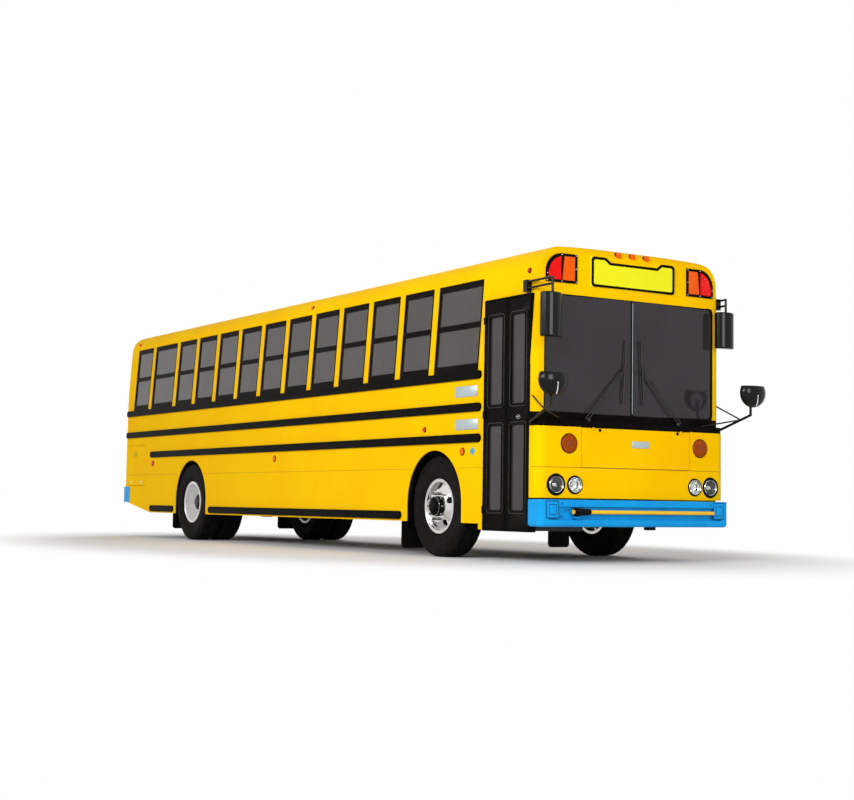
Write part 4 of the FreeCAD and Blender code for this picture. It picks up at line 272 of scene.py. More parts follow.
def lathe(shape, profile, centre, along=(1, 0, 0), steps=48):
    """A profile of (radius, distance along the axle) points turned right round an axle through centre.

    A profile with both ends off the axle is a ring's section, and is closed."""
    if profile[0][0] and profile[-1][0]:
        profile = profile + profile[:1]
    centre, along = Vector(centre), Vector(along).normalized()
    outwards = along.orthogonal().normalized()
    line = [shape.verts.new(centre + outwards * r + along * a) for r, a in profile]
    edges = [shape.edges.new(pair) for pair in zip(line, line[1:])]
    bmesh.ops.spin(shape, geom=line + edges, cent=centre, axis=along, angle=math.tau, steps=steps,
                   use_merge=True)


def plate(shape, outline, depth, edge=0.0):
    """A flat plate: an outline of points, grown by the vector depth, with the far face's edge rounded."""
    face = shape.faces.new([shape.verts.new(p) for p in outline])
    grown = bmesh.ops.extrude_face_region(shape, geom=[face])["geom"]
    top = [g for g in grown if isinstance(g, bmesh.types.BMFace)]
    bmesh.ops.translate(shape, vec=depth, verts=[g for g in grown if isinstance(g, bmesh.types.BMVert)])
    if edge:
        round_off(shape, list(top[0].edges), edge)


def tube(shape, points, radius, closed=False, sides=2):
    """A round bar, strip or bead along a run of points."""
    curve = bpy.data.curves.new("run", "CURVE")
    curve.dimensions, curve.use_fill_caps = "3D", True
    curve.bevel_depth, curve.bevel_resolution = radius, sides
    run = curve.splines.new("POLY")
    run.points.add(len(points) - 1)
    for spot, point in zip(run.points, points):
        spot.co = (*point, 1)
    run.use_cyclic_u = closed
    holder = bpy.data.objects.new("run", curve)
    shape.from_mesh(bpy.data.meshes.new_from_object(holder))
    bpy.data.objects.remove(holder)
    bpy.data.curves.remove(curve)


def round_corners(low, high, radius, steps=4):
    """Corner points of a rectangle in its own plane, with round corners."""
    points = []
    corners = ((high[0], high[1]), (low[0], high[1]), (low[0], low[1]), (high[0], low[1]))
    for turn, (u, v) in enumerate(corners):
        cu, cv = u - math.copysign(radius, u - low[0] - 1e-9), v - math.copysign(radius, v - low[1] - 1e-9)
        for k in range(steps + 1):
            du, dv = polar(radius, 90 * (turn + k / steps))
            points.append((cu + du, cv + dv))
    return points


def islands(node):
    """A CAD node's separate solids, each as its own bmesh, in order from the rear to the front."""
    whole = bmesh.new()
    whole.from_mesh(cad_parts[node].data)
    bmesh.ops.remove_doubles(whole, verts=whole.verts, dist=0.00001)
    whole.verts.index_update()
    left, found = set(whole.verts), []
    while left:
        reached = {left.pop()}
        edge = list(reached)
        while edge:
            near = {e.other_vert(v) for v in edge for e in v.link_edges} - reached
            reached |= near
            edge = list(near)
        left -= reached
        kept = {v.index for v in reached}
        single = whole.copy()
        bmesh.ops.delete(single, geom=[v for v in single.verts if v.index not in kept], context="VERTS")
        found.append(single)
    whole.free()
    return sorted(found, key=lambda s: sum(v.co.x for v in s.verts) / len(s.verts))


def reach(shape):
    """Lowest and highest corner of a bmesh."""
    return [Vector([pick(v.co[i] for v in shape.verts) for i in range(3)]) for pick in (min, max)]


# ---- places, all from the frame
def middle(node):
    """The middle of a node's box."""
    low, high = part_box(node)
    return (low + high) / 2


nose_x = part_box("nose_panel")[1].x
datum = nose_x - 1.885
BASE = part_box("side_walls")[0].z - 0.330         # heights on the body are measured from here
front_tyre, rear_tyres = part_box("front_tyre_left"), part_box("rear_tyres_left")
front_axle, track, axle_z = middle("front_tyre_left")
rear_axle, rear_middle, _ = middle("rear_tyres_left")
tyre_radius = front_tyre[1].z - axle_z
twin_spacing = (rear_tyres[1].y - rear_tyres[0].y) - (front_tyre[1].y - front_tyre[0].y)
rear_track = rear_middle + twin_spacing / 2
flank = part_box("rear_cap")[1].y                  # half the body's width
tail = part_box("roof_shell")[0].x - 0.0703
screen_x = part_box("front_cap")[1].x
belt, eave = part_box("window_walls")[0].z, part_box("window_walls")[1].z
LEAN = 0.065             # of the window walls, from belt to eave


def wall_y(z):
    """Half width of the body at a height: upright up to the windows, leaning in above."""
    return flank - LEAN * max(0, z - belt) / (eave - belt)


def nose_at(y):
    """X of the nose's face."""
    return nose_x - 0.040 * (y / flank) ** 2


def screen_at(y):
    """X of the face over and beside the windshield."""
    return screen_x - 0.025 * (y / flank) ** 2


# ---- tyres
def tyre_profile():
    """(radius, distance from the wheel's middle) round a tyre's section, from one bead to the other."""
    outer = [(0.287, 0.1005), (0.300, 0.1040), (0.314, 0.113), (0.335, 0.1225), (0.352, 0.128),
             (0.354, 0.131), (0.359, 0.1315), (0.362, 0.130), (0.395, 0.1375), (0.425, 0.1395),
             (0.448, 0.1385), (0.450, 0.1400), (0.456, 0.1400), (0.459, 0.1375), (0.478, 0.134),
             (0.494, 0.1285), (0.505, 0.122), (0.512, 0.114), (0.515, 0.104), (0.515, 0.070),
             (0.503, 0.068), (0.503, 0.060), (0.515, 0.058), (0.515, 0.026), (0.503, 0.024),
             (0.503, 0.016), (0.515, 0.014)]
    outer = [(0.300 + (r - 0.300) * (tyre_radius - 0.300) / 0.215 if r > 0.300 else r, a) for r, a in outer]
    return outer + [(r, -a) for r, a in reversed(outer)]


TREAD_STEPS = 108
CUT_DEPTH = 7 * MM


def tyre(shape, x, y):
    """One tyre with ribbed walls, four tread grooves and cross cuts in its shoulders."""
    fresh = bmesh.new()
    centre = Vector((x, y, axle_z))
    lathe(fresh, tyre_profile(), centre, (0, 1, 0), TREAD_STEPS)
    bmesh.ops.remove_doubles(fresh, verts=fresh.verts, dist=0.00002)
    bmesh.ops.recalc_face_normals(fresh, faces=fresh.faces)
    cuts = []
    for face in fresh.faces:
        off = face.calc_center_median() - centre
        step = round((math.atan2(off.z, off.x) / math.tau) * TREAD_STEPS - 0.5)
        on_shoulder = math.hypot(off.x, off.z) > tyre_radius - 0.019 and 0.071 < abs(off.y) < 0.124
        if step % 3 == 0 and on_shoulder:
            cuts.append(face)
    grown = bmesh.ops.extrude_face_region(fresh, geom=cuts)["geom"]
    for vert in (g for g in grown if isinstance(g, bmesh.types.BMVert)):
        off = vert.co - centre
        vert.co -= Vector((off.x, 0, off.z)).normalized() * CUT_DEPTH
    bmesh.ops.delete(fresh, geom=[f for f in cuts if f.is_valid], context="FACES")
    take_in(shape, fresh)


for side, name in SIDES.items():
    front = bmesh.new()
    tyre(front, front_axle, side * track)
    settle(f"front_tyre_tread_{name}", front, "tyre_rubber", f"front_wheel_{name}", [f"front_tyre_{name}"])
    rear = bmesh.new()
    for y in (rear_track, rear_track - twin_spacing):
        tyre(rear, rear_axle, side * y)
    settle(f"rear_tyre_treads_{name}", rear, "tyre_rubber", f"rear_wheels_{name}", [f"rear_tyres_{name}"])

# ---- wheel fittings
NUT = [(0, 0), (0.0175, 0), (0.0175, 0.005), (0.0150, 0.007), (0.0150, 0.030), (0.009, 0.036), (0, 0.036)]
HUB_CAP = [(0, 0.139), (0.110, 0.139), (0.110, 0.146), (0.107, 0.150), (0.107, 0.176), (0.098, 0.184),
           (0.070, 0.187), (0.064, 0.204), (0.052, 0.212), (0.020, 0.214), (0, 0.214)]
DRIVE_FLANGE = [(0, 0.018), (0.112, 0.018), (0.112, 0.027), (0.104, 0.032), (0.070, 0.033), (0.064, 0.052),
                (0.054, 0.060), (0, 0.061)]
RIM_LIP = [(0.283, 0.108), (0.296, 0.108), (0.2985, 0.113), (0.2965, 0.1185), (0.289, 0.1195), (0.283, 0.116)]


def ring_of(shape, profile, count, pitch_radius, x, y, side, turn=0.0, steps=6):
    """Small turned parts set round a wheel, each pointing outwards."""
    for k in range(count):
        dx, dz = polar(pitch_radius, 360 * k / count + turn)
        lathe(shape, profile, (x + dx, y, axle_z + dz), (0, side, 0), steps)


WHEEL_NUTS, NUT_CIRCLE = 10, 0.1425
SMALL_BOLT = [(0, 0), (0.009, 0), (0.009, 0.007), (0.006, 0.009), (0, 0.009)]
VALVE = [(0, 0), (0.006, 0), (0.006, 0.045), (0.004, 0.050), (0, 0.050)]
for side, name in SIDES.items():
    for x, y, body, seat, cap, cap_top, bolt_circle, nut_finish, hub_finish in (
            (front_axle, side * track, f"front_wheel_{name}", 0.140, HUB_CAP, 0.186, 0.084, "black_chrome",
             "chassis_paint"),
            (rear_axle, side * rear_track, f"rear_wheels_{name}", -0.143, DRIVE_FLANGE, 0.032, 0.088,
             "chrome", "cast_iron")):
        nuts, lip, hub = blanks(3)
        ring_of(nuts, NUT, WHEEL_NUTS, NUT_CIRCLE, x, y + side * seat, side)
        lathe(nuts, VALVE, (x + 0.18, y + side * seat, axle_z + 0.12), (0, side, 0), 8)
        settle(f"wheel_nuts_{body}", nuts, nut_finish, body)
        lathe(lip, RIM_LIP, (x, y, axle_z), (0, side, 0), 72)
        settle(f"rim_lip_{body}", lip, "polished_aluminium", body)
        lathe(hub, cap, (x, y, axle_z), (0, side, 0), 40)
        ring_of(hub, SMALL_BOLT, 8, bolt_circle, x, y + side * cap_top, side, 20)
        settle(f"hub_cap_{body}", hub, hub_finish, body)

# ---- lamps in the nose
HEAD = (1.000, BASE + 0.732, 0.104)      # distance from the middle, height, radius
BEAM = (0.778, BASE + 0.732, 0.088)
TURN = (0.850, BASE + 1.141, 0.096)
rims, smoked, bright, lenses, gaskets = blanks(5)
for side in SIDES:
    for (y, z, r), bowl, ring in ((HEAD, smoked, 0.016), (BEAM, bright, 0.004)):
        spot, edge = (nose_at(y), side * y, z), r - ring
        lathe(gaskets, [(edge - 0.006, -0.030), (r, -0.030), (r + 0.006, 0.001), (r + 0.003, 0.010),
                        (edge - 0.002, 0.012), (edge - 0.006, 0.006)], spot)
        lathe(rims, [(edge - 0.012, -0.006), (edge - 0.005, -0.006), (edge - 0.005, 0.010),
                     (edge - 0.008, 0.014), (edge - 0.012, 0.010)], spot)
        lathe(bowl, [(0, -0.048), (edge * 0.3, -0.046), (edge * 0.62, -0.036), (edge - 0.010, -0.008),
                     (edge - 0.010, -0.012), (edge * 0.62, -0.0405), (edge * 0.3, -0.0495), (0, -0.0495)],
              spot)
        lathe(bright, [(0, -0.046), (0.020, -0.044), (0.024, -0.030), (0.015, -0.014), (0, -0.011)], spot,
              steps=20)
        lathe(bright, [(edge * 0.60, -0.034), (edge * 0.66, -0.034), (edge * 0.68, -0.016),
                       (edge * 0.63, -0.012)], spot, steps=40)
        lathe(lenses, [(0, 0.013), (edge * 0.35, 0.0115), (edge * 0.7, 0.007), (edge - 0.012, 0.001),
                       (edge - 0.012, -0.003), (edge * 0.7, 0.003), (edge * 0.35, 0.0075), (0, 0.009)], spot)
settle("headlamp_gaskets", gaskets, "seal_rubber")
settle("headlamp_rims", rims, "chrome")
settle("headlamp_bowls", smoked, "smoked_chrome")
settle("beam_lamp_bowls", bright, "bright_reflector")
settle("headlamp_lenses", lenses, "pressed_glass", stands_for=["head_lamps"])

amber_faces, cores, gaskets = blanks(3)
for side in SIDES:
    y, z, r = TURN
    spot = (nose_at(y), side * y, z)
    ribs = [(r - 0.006 - 0.007 * k, 0.010 + 0.0010 * k + (0.0022 if k % 2 else 0)) for k in range(9)]
    lathe(amber_faces, [(r - 0.004, 0.0005), (r - 0.003, 0.006)] + ribs
          + [(0.026, 0.020), (0, 0.021), (0, 0.0005)], spot, steps=64)
    lathe(cores, [(0, 0.0225), (0.010, 0.0224), (0.025, 0.0215), (0.027, 0.0185), (0, 0.0185)], spot,
          steps=32)
    for k in range(24):
        out = Vector((0, *polar(1, 15 * k)))
        near = Vector(spot) + out * 0.034 + Vector((0.0185, 0, 0))
        far = Vector(spot) + out * (r - 0.012) + Vector((0.0115, 0, 0))
        tube(cores, [near, far], 0.0011, sides=0)
    lathe(gaskets, [(r - 0.004, -0.002), (r + 0.004, -0.002), (r + 0.004, 0.005), (r + 0.001, 0.009),
                    (r - 0.004, 0.008)], spot)
# The turn lamps' faces take the darker amber: painted shade.
settle("turn_lamp_faces", amber_faces, "amber_shade")
settle("turn_lamp_cores", cores, "amber_core")
settle("turn_lamp_gaskets", gaskets, "seal_rubber")

# ---- nose: seams, latches, ledge
seams, latches = blanks(2)
SEAM_Z, NOSE_HEAD = BASE + 0.905, BASE + 1.308


def across_nose(z, stand):
    """Points round the nose at a height, from its right side to its left side."""
    r = 0.110            # of the body's corner
    bend = []
    for k in range(7):
        out, over = polar(r + stand, 90 - 15 * k)
        bend.append((nose_at(flank - r) - r + out, -flank + r - over, z))
    straight = [-flank + r + 2 * (flank - r) * k / 24 for k in range(1, 24)]
    run = [(nose_at(y) + stand, y, z) for y in straight]
    return bend + run + [(x, -y, z) for x, y, z in reversed(bend)]


# The nose seams take the darker yellow: painted shade in the joins.
tube(seams, across_nose(SEAM_Z - 0.001, -0.001), 0.0034, sides=1)
for y in (-0.7025, 0.7025):
    tube(seams, [(nose_at(y) - 0.001, y, SEAM_Z), (nose_at(y) - 0.001, y, NOSE_HEAD)], 0.0026, sides=1)
settle("nose_seams", seams, "yellow_groove_shade")
for y in (-0.478, 0.536):
    lathe(latches, [(0, 0), (0.017, 0), (0.017, 0.003), (0.013, 0.006), (0.006, 0.0065), (0, 0.0065)],
          (nose_at(y), y, BASE + 1.284), steps=24)
settle("hatch_latches", latches, "black_enamel", "front_lid")
badge = bmesh.new()
block(badge, (nose_at(0.15) + 0.0005, -0.073, BASE + 1.118), (nose_at(0) + 0.006, 0.148, BASE + 1.186), 0.003)
settle("nose_badge", badge, "badge_aluminium", "front_lid")

# ---- sign over the windshield
sign_low, sign_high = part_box("destination_sign")
NOTCH, NOTCH_HALF = 0.045, 0.300


def sign_outline(inset):
    """Corner points (y, z) of the sign, inside its edge by a distance."""
    h, n, low, high = sign_high.y - inset, NOTCH_HALF + inset * 0.6, sign_low.z + inset, sign_high.z - inset
    c = 0.024
    half = [(h - c, low), (h - c * 0.3, low + c * 0.3), (h, low + c), (h, high - c),
            (h - c * 0.3, high - c * 0.3), (h - c, high), (n + 0.060, high), (n, high - NOTCH)]
    return half + [(-y, z) for y, z in reversed(half)]


border = bmesh.new()
for inset, radius in ((0.009, 0.0095), (0.021, 0.0075)):
    tube(border, [(screen_at(y) + 0.0135, y, z) for y, z in sign_outline(inset)], radius, closed=True)
settle("sign_border", border, "black_enamel")

# ---- warning lamps
screws, ribs_amber, ribs_red = blanks(3)
SCREW = [(0, 0), (0.006, 0), (0.0055, 0.002), (0.002, 0.003), (0, 0.003)]
INNER_Y, WIDTH, FOOT, HEIGHT, BAR, ROUND = 0.720, 0.375, sign_low.z + 0.010, 0.295, 0.026, 0.190
RIB_PITCH = 0.0185
for side in SIDES:
    for face, out in ((screen_at, 1), (lambda y: tail, -1)):
        near, mid, far = INNER_Y + BAR / 2, INNER_Y + WIDTH / 2, INNER_Y + WIDTH - BAR / 2
        low, high = FOOT + BAR / 2, FOOT + HEIGHT - BAR / 2
        for y, z in ((near, low), (near, high), (mid, low), (mid, high), (far, low),
                     (near, FOOT + HEIGHT / 2), (far, FOOT + HEIGHT * 0.28)):
            lathe(screws, SCREW, (face(y) + out * 0.014, side * y, z), (out, 0, 0), 10)
        for k in range(7):
            amber_y, red_y = INNER_Y + BAR + 0.012 + k * RIB_PITCH, mid + 0.018 + k * RIB_PITCH
            over = max(0, red_y - (INNER_Y + WIDTH - ROUND))
            drop = ROUND - BAR - math.sqrt(max(0, (ROUND - BAR) ** 2 - over ** 2))
            for ribs, y, top in ((ribs_amber, amber_y, HEIGHT - BAR - 0.006),
                                 (ribs_red, red_y, HEIGHT - BAR - 0.010 - drop)):
                x = face(y) + out * 0.0098
                tube(ribs, [(x, side * y, FOOT + BAR + 0.006), (x, side * y, FOOT + top)], 0.0028, sides=1)
settle("warning_lamp_screws", screws, "chrome")
settle("warning_ribs_amber", ribs_amber, "amber_acrylic")
settle("warning_ribs_red", ribs_red, "red_acrylic")

# ---- windshield gasket, wiper blades, mirror faces
gasket = bmesh.new()
glass_low, glass_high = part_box("windshield_glass")
outline = round_corners((glass_low.y, glass_low.z), (glass_high.y, glass_high.z), 0.05)
tube(gasket, [(screen_at(y) - 0.009, y, z) for y, z in outline], 0.011, closed=True)
block(gasket, (screen_x - 0.012, -0.0125, glass_low.z), (screen_x - 0.003, 0.0125, glass_high.z), 0.003)
settle("windshield_gasket", gasket, "seal_rubber")
bead, x = bmesh.new(), screen_x - 0.0028
tube(bead, [(x, 0, glass_low.z + 0.02), (x, 0, glass_high.z - 0.02)], 0.0028, sides=1)
settle("windshield_bead", bead, "badge_aluminium")

blades = bmesh.new()
for side in SIDES:
    for x, radius in ((screen_x + 0.004, 0.0035), (screen_x - 0.0005, 0.0025)):
        tube(blades, [(x, side * 0.095, BASE + 2.225), (x, side * 0.135, BASE + 1.565)], radius, sides=1)
settle("wiper_blades", blades, "seal_rubber")

mirror_faces, stalks = blanks(2)
for side in SIDES:
    x, y, z = datum + 2.195, side * 1.290, BASE + 1.690
    lathe(mirror_faces, [(0, -0.017), (0.060, -0.0165), (0.095, -0.0135), (0.0955, -0.011), (0, -0.011)],
          (x, y, z), steps=40)
    tube(stalks, [(x + 0.0845, y, z + 0.004), (x + 0.0765, y, z - 0.060), (x + 0.058, y, z - 0.098)], 0.0055)
    lathe(stalks, [(0, -0.006), (0.016, -0.006), (0.016, 0.004), (0.009, 0.010), (0, 0.011)],
          (x + 0.078, y, z + 0.012), (1, 0, 0.1), 20)
for side, x, foot in ((-1, 2.050, BASE + 2.165), (1, 1.880, BASE + 2.215)):
    back, head_top = datum + x - 0.053, BASE + 2.605
    for low_z, high_z in ((foot + 0.150, head_top - 0.022), (foot + 0.022, foot + 0.138)):
        outline = round_corners((-0.088, low_z), (0.088, high_z), 0.018)
        plate(mirror_faces, [(back, side * 1.200 + u, v) for u, v in outline], Vector((-0.002, 0, 0)), 0.0008)
settle("mirror_faces", mirror_faces, "chrome")
settle("mirror_stalks", stalks, "chrome")

# ---- entry door leaves
LEAF_FACE = -flank + 0.0065
middle_x = (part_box("door_leaf_rear")[1].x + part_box("door_leaf_front")[0].x) / 2
for node, body, way in (("door_leaf_rear", "entry_leaf_rear", 1),
                        ("door_leaf_front", "entry_leaf_front", -1)):
    *panes, leaf = sorted(islands(node), key=lambda s: len(s.verts))
    glazing, gaskets, mouldings, seal = blanks(4)
    settle(f"{node}_panel", leaf, "black_enamel", body, [node])
    for pane in panes:
        low, high = reach(pane)
        take_in(glazing, pane)
        for shape, grow, bend, set_in, radius in ((gaskets, 0.004, 0.030, 0, 0.009),
                                                  (mouldings, 0.026, 0.042, 0.001, 0.0045)):
            outline = round_corners((low.x - grow, low.z - grow), (high.x + grow, high.z + grow), bend)
            tube(shape, [(x, LEAF_FACE + set_in, z) for x, z in outline], radius, closed=True)
    settle(f"{node}_panes", glazing, "door_glass", body)
    settle(f"{node}_gaskets", gaskets, "seal_rubber", body)
    settle(f"{node}_mouldings", mouldings, "satin_black_highlight", body)
    edge = middle_x - way * 0.0085
    low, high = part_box(node)
    block(seal, (edge, -flank + 0.010, low.z + 0.004), (edge + way * 0.0045, -flank + 0.030, high.z - 0.004),
          0.002)
    for x in (edge - way * 0.012, edge - way * 0.026):
        tube(seal, [(x, -flank + 0.007, low.z + 0.01), (x, -flank + 0.007, high.z - 0.01)], 0.0035, sides=1)
    settle(f"{node}_seal", seal, "seal_rubber", body)

lock_x, lock_z = middle_x + 0.215, BASE + 1.405


def oval(y):
    """Points round the entry lock's plate."""
    return [(lock_x + polar(0.034, 15 * k)[0], y, lock_z + polar(0.019, 15 * k)[1]) for k in range(24)]


backing, lock = blanks(2)
plate(backing, oval(-flank + 0.008), Vector((0, -0.006, 0)), 0.002)
settle("entry_lock_plate", backing, "black_enamel", "entry_leaf_front")
tube(lock, oval(-flank + 0.004), 0.0025, closed=True, sides=1)
for shift in (-0.013, 0.013):
    lathe(lock, [(0, 0), (0.0065, 0), (0.0055, 0.003), (0, 0.0035)], (lock_x + shift, -flank + 0.002, lock_z),
          (0, -1, 0), 14)
settle("entry_lock", lock, "chrome", "entry_leaf_front")

# ---- side windows
bars, latches = blanks(2)
rail_z = eave - 0.500            # foot of the rail between a sash's two panes
for sash in islands("window_frames"):
    low, high = reach(sash)
    sash.free()
    side = 1 if high.y > 0 else -1
    for z, radius in ((rail_z + 0.006, 0.0045), (rail_z + 0.052, 0.0035), (belt + 0.076, 0.004),
                      (belt + 0.012, 0.0035)):
        y = side * (wall_y(z) - 0.0075)
        tube(bars, [(low.x + 0.006, y, z), (high.x - 0.006, y, z)], radius, sides=1)
    foot, head = belt + 0.080, eave - 0.070
    for x in (low.x + 0.032, high.x - 0.032):
        tube(bars, [(x, side * (wall_y(foot) - 0.0085), foot), (x, side * (wall_y(head) - 0.0085), head)],
             0.0045, sides=1)
    for x in (low.x + 0.120, high.x - 0.120):
        z = rail_z + 0.030
        block(latches, (x - 0.022, side * (wall_y(z) - 0.004), z - 0.008),
              (x + 0.022, side * (wall_y(z) - 0.012), z + 0.008), 0.003)
settle("sash_beads", bars, "black_enamel")
settle("sash_latches", latches, "black_enamel")

# ---- wheel arch lips
ARCH, ARCH_Z, SKIRT = 0.575, BASE + 0.535, BASE + 0.330
ARCHES = (rear_axle, datum - 0.090)


def over_wheel(x, radius, foot, steps):
    """Points (x, z) along an arch's edge, from its rear foot over the wheel to its front foot."""
    turns = [polar(radius, 180 * k / steps) for k in range(steps + 1)]
    return [(x - radius, foot)] + [(x - u, ARCH_Z + v) for u, v in turns] + [(x + radius, foot)]


lips, linings, foot = blanks(3)
for side in SIDES:
    for x in ARCHES:
        tube(lips, [(a, side * (flank - 0.002), b) for a, b in over_wheel(x, ARCH, SKIRT + 0.002, 36)], 0.011)
        outer, inner = over_wheel(x, ARCH - 0.003, SKIRT, 30), over_wheel(x, ARCH - 0.010, SKIRT, 30)
        plate(linings, [(a, side * (flank - 0.010), b) for a, b in outer + inner[::-1]],
              Vector((0, -side * 0.058, 0)))
settle("arch_lips", lips, "yellow_enamel")
settle("arch_linings", linings, "seal_rubber")
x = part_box("door_frame")[0].x - 0.004
block(foot, (x - 0.075, -flank + 0.002, SKIRT - 0.060), (x - 0.004, -flank + 0.040, SKIRT + 0.004), 0.006)
settle("door_post_foot", foot, "yellow_enamel")

# ---- rub rails: pressed ridges and screws
ridges, screws = blanks(2)
for rail in islands("side_trim"):
    low, high = reach(rail)
    rail.free()
    if high.z - low.z > 0.095 or high.x - low.x < 0.3:
        continue
    side = 1 if high.y > 0 else -1
    face = side * max(abs(low.y), abs(high.y))
    for z in (low.z + 0.017, high.z - 0.017):
        y = face - side * 0.001
        tube(ridges, [(low.x + 0.030, y, z), (high.x - 0.030, y, z)], 0.0075)
    count = max(2, round((high.x - low.x) / 0.62))
    for k in range(count + 1):
        x = low.x + 0.045 + (high.x - low.x - 0.090) * k / count
        lathe(screws, SCREW, (x, face, (low.z + high.z) / 2), (0, side, 0), 8)
settle("rail_ridges", ridges, "black_enamel")
settle("rail_screws", screws, "black_enamel")

# ---- panel seams on the sides
# The side seams take the darker yellow: painted shade in the joins between panels.
seams = bmesh.new()
sash_row = sorted((reach(s)[0].x, reach(s)[1].x, reach(s)[1].y) for s in islands("window_frames"))
for side in SIDES:
    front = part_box("door_frame")[0].x if side < 0 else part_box("roof_shell")[1].x
    y = side * (flank - 0.0005)
    z, start = SEAM_Z, tail + 0.08
    for arch in ARCHES:
        reach_x = math.sqrt(ARCH ** 2 - (z - ARCH_Z) ** 2) + 0.014
        tube(seams, [(start, y, z), (arch - reach_x, y, z)], 0.0022, sides=1)
        start = arch + reach_x
    tube(seams, [(start, y, z), (front - 0.004, y, z)], 0.0022, sides=1)
    posts = [(a + b) / 2 for (_, a, ya), (b, _, yb) in zip(sash_row, sash_row[1:])
             if ya * side > 0 and yb * side > 0 and 0 < b - a < 0.2]
    for x in posts[1::3]:
        if all(abs(x - centre) > ARCH + 0.05 for centre in ARCHES):
            tube(seams, [(x, y, BASE + 0.450), (x, y, z)], 0.0020, sides=1)
settle("side_seams", seams, "yellow_groove_shade")

# ---- badges, reflectors and the fuel marking
badges, marking = blanks(2)
for side in SIDES:
    y = side * (flank + 0.0003)
    plates = [(0.331, 0.775, 1.305, 1.415)]
    if side < 0:         # on the left the stop sign hangs there
        plates.append((0.320, 0.755, 1.650, 1.765))
    for low_x, high_x, low_z, high_z in plates:
        block(badges, (datum + low_x, y, BASE + low_z), (datum + high_x, y + side * 0.006, BASE + high_z),
              0.004)
    x, z = datum + 0.673, BASE + 1.079
    plate(marking, [(x + dx, y, z + dz) for dx, dz in ((0.055, 0), (0, 0.045), (-0.055, 0), (0, -0.045))],
          Vector((0, side * 0.002, 0)), 0.0008)
settle("side_badges", badges, "badge_aluminium")
settle("fuel_marking", marking, "blue_film")

# ---- marker lamps and reflectors
bezels, amber_domes, red_domes = blanks(3)
for node, domes in (("amber_lenses", amber_domes), ("red_lenses", red_domes)):
    for lens in islands(node):
        low, high = reach(lens)
        lens.free()
        spot, size = (low + high) / 2, high - low
        side = 1 if spot.y > 0 else -1
        if max(size) > 0.1:
            continue
        if size.x > 0.05 and abs(spot.y) < 0.5:      # over the windshield
            out, foot, r = Vector((1, 0, 0.35)).normalized(), spot, 0.031
        elif spot.x < tail + 0.05:                   # over the rear window
            out, foot, r = Vector((-1, 0, 0)), Vector((high.x - 0.008, spot.y, spot.z)), 0.024
        else:
            lean = 0.06 if spot.z > belt else 0
            face = wall_y(spot.z) if spot.z < eave else min(abs(low.y), abs(high.y)) + 0.004
            out = Vector((0, side, lean)).normalized()
            foot = Vector((spot.x, side * (face + 0.0005), max(spot.z, high.z - 0.022)))
            r = size.x / 2 + 0.002
        if r > 0.035:        # a flat reflector, which needs only its rim
            foot = Vector((spot.x, side * flank, spot.z))
            lathe(bezels, [(r - 0.004, 0.001), (r + 0.002, 0.001), (r + 0.002, 0.008), (r - 0.001, 0.0100),
                           (r - 0.004, 0.0095)], foot, out, 32)
            continue
        lathe(bezels, [(r - 0.004, -0.004), (r + 0.006, -0.004), (r + 0.006, 0.003), (r + 0.002, 0.007),
                       (r - 0.004, 0.007)], foot, out, 28)
        lathe(domes, [(0, -0.003), (r, -0.003), (r, 0.008), (r * 0.93, 0.016), (r * 0.7, 0.021),
                      (r * 0.35, 0.0235), (0, 0.024)], foot, out, 28)
settle("marker_bezels", bezels, "seal_rubber")
settle("marker_domes_amber", amber_domes, "marker_acrylic")
settle("marker_domes_red", red_domes, "red_acrylic")

# ---- front bumper and crossing arm
pads, frames, holes, tow = blanks(4)
BUMPER_X, PAD_Y, PAD_Z = datum + 1.925, 1.075, BASE + 0.487


def bumper_at(y):
    """X of the front bumper's face."""
    return BUMPER_X - 0.022 * (y / (flank + 0.006)) ** 2


for side in SIDES:
    for half_y, half_z, stand, shape in ((0.075, 0.088, 0.004, frames), (0.066, 0.078, 0.007, pads),
                                         (0.045, 0.052, 0.009, frames), (0.038, 0.044, 0.012, pads)):
        y0, y1 = side * (PAD_Y - half_y), side * (PAD_Y + half_y)
        base = min(bumper_at(y0), bumper_at(y1)) - 0.004
        block(shape, (base, y0, PAD_Z - half_z), (base + 0.006 + stand, y1, PAD_Z + half_z), 0.002)
    for y, z in ((0.965, 0.545), (0.965, 0.420), (0.920, 0.480), (0.885, 0.480)):
        lathe(holes, [(0, 0), (0.010, 0), (0.009, 0.004), (0, 0.0045)],
              (bumper_at(y) - 0.001, side * y, BASE + z), steps=14)
settle("bumper_pads", pads, "blue_enamel")
# The pad frames and bolt holes take the darker blue: painted shade.
settle("bumper_pad_frames", frames, "blue_shade")
settle("bumper_bolts", holes, "blue_shade")
block(tow, (BUMPER_X - 0.120, 0.150, BASE + 0.285), (BUMPER_X - 0.030, 0.240, BASE + 0.330), 0.008)
settle("tow_eye", tow, "chassis_paint")

arm_low, arm_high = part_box("crossing_arm")
foot = middle("crossing_arm")
foot.y = arm_low.y + 0.032
arm, sleeve, barrel = blanks(3)
length = arm_high.y - foot.y
lathe(arm, [(0, 0.150), (0.020, 0.150), (0.020, length - 0.012), (0.017, length - 0.003), (0.010, length),
            (0, length)], foot, (0, 1, 0), 32)
lathe(arm, [(0, -0.046), (0.020, -0.046), (0.022, -0.044), (0.022, -0.034), (0.020, -0.031), (0, -0.031)],
      foot, (0, 1, 0), 28)
lathe(sleeve, [(0, -0.031), (0.029, -0.031), (0.0335, -0.026), (0.0335, 0.090), (0.031, 0.100),
               (0.031, 0.158), (0.026, 0.164), (0, 0.164)], foot, (0, 1, 0), 28)
lathe(barrel, [(0, -0.046), (0.026, -0.046), (0.028, -0.043), (0.028, 0.043), (0.026, 0.046), (0, 0.046)],
      foot, (0, 0, 1), 32)
settle("arm_tube", arm, "arm_gloss", "arm", ["crossing_arm"])
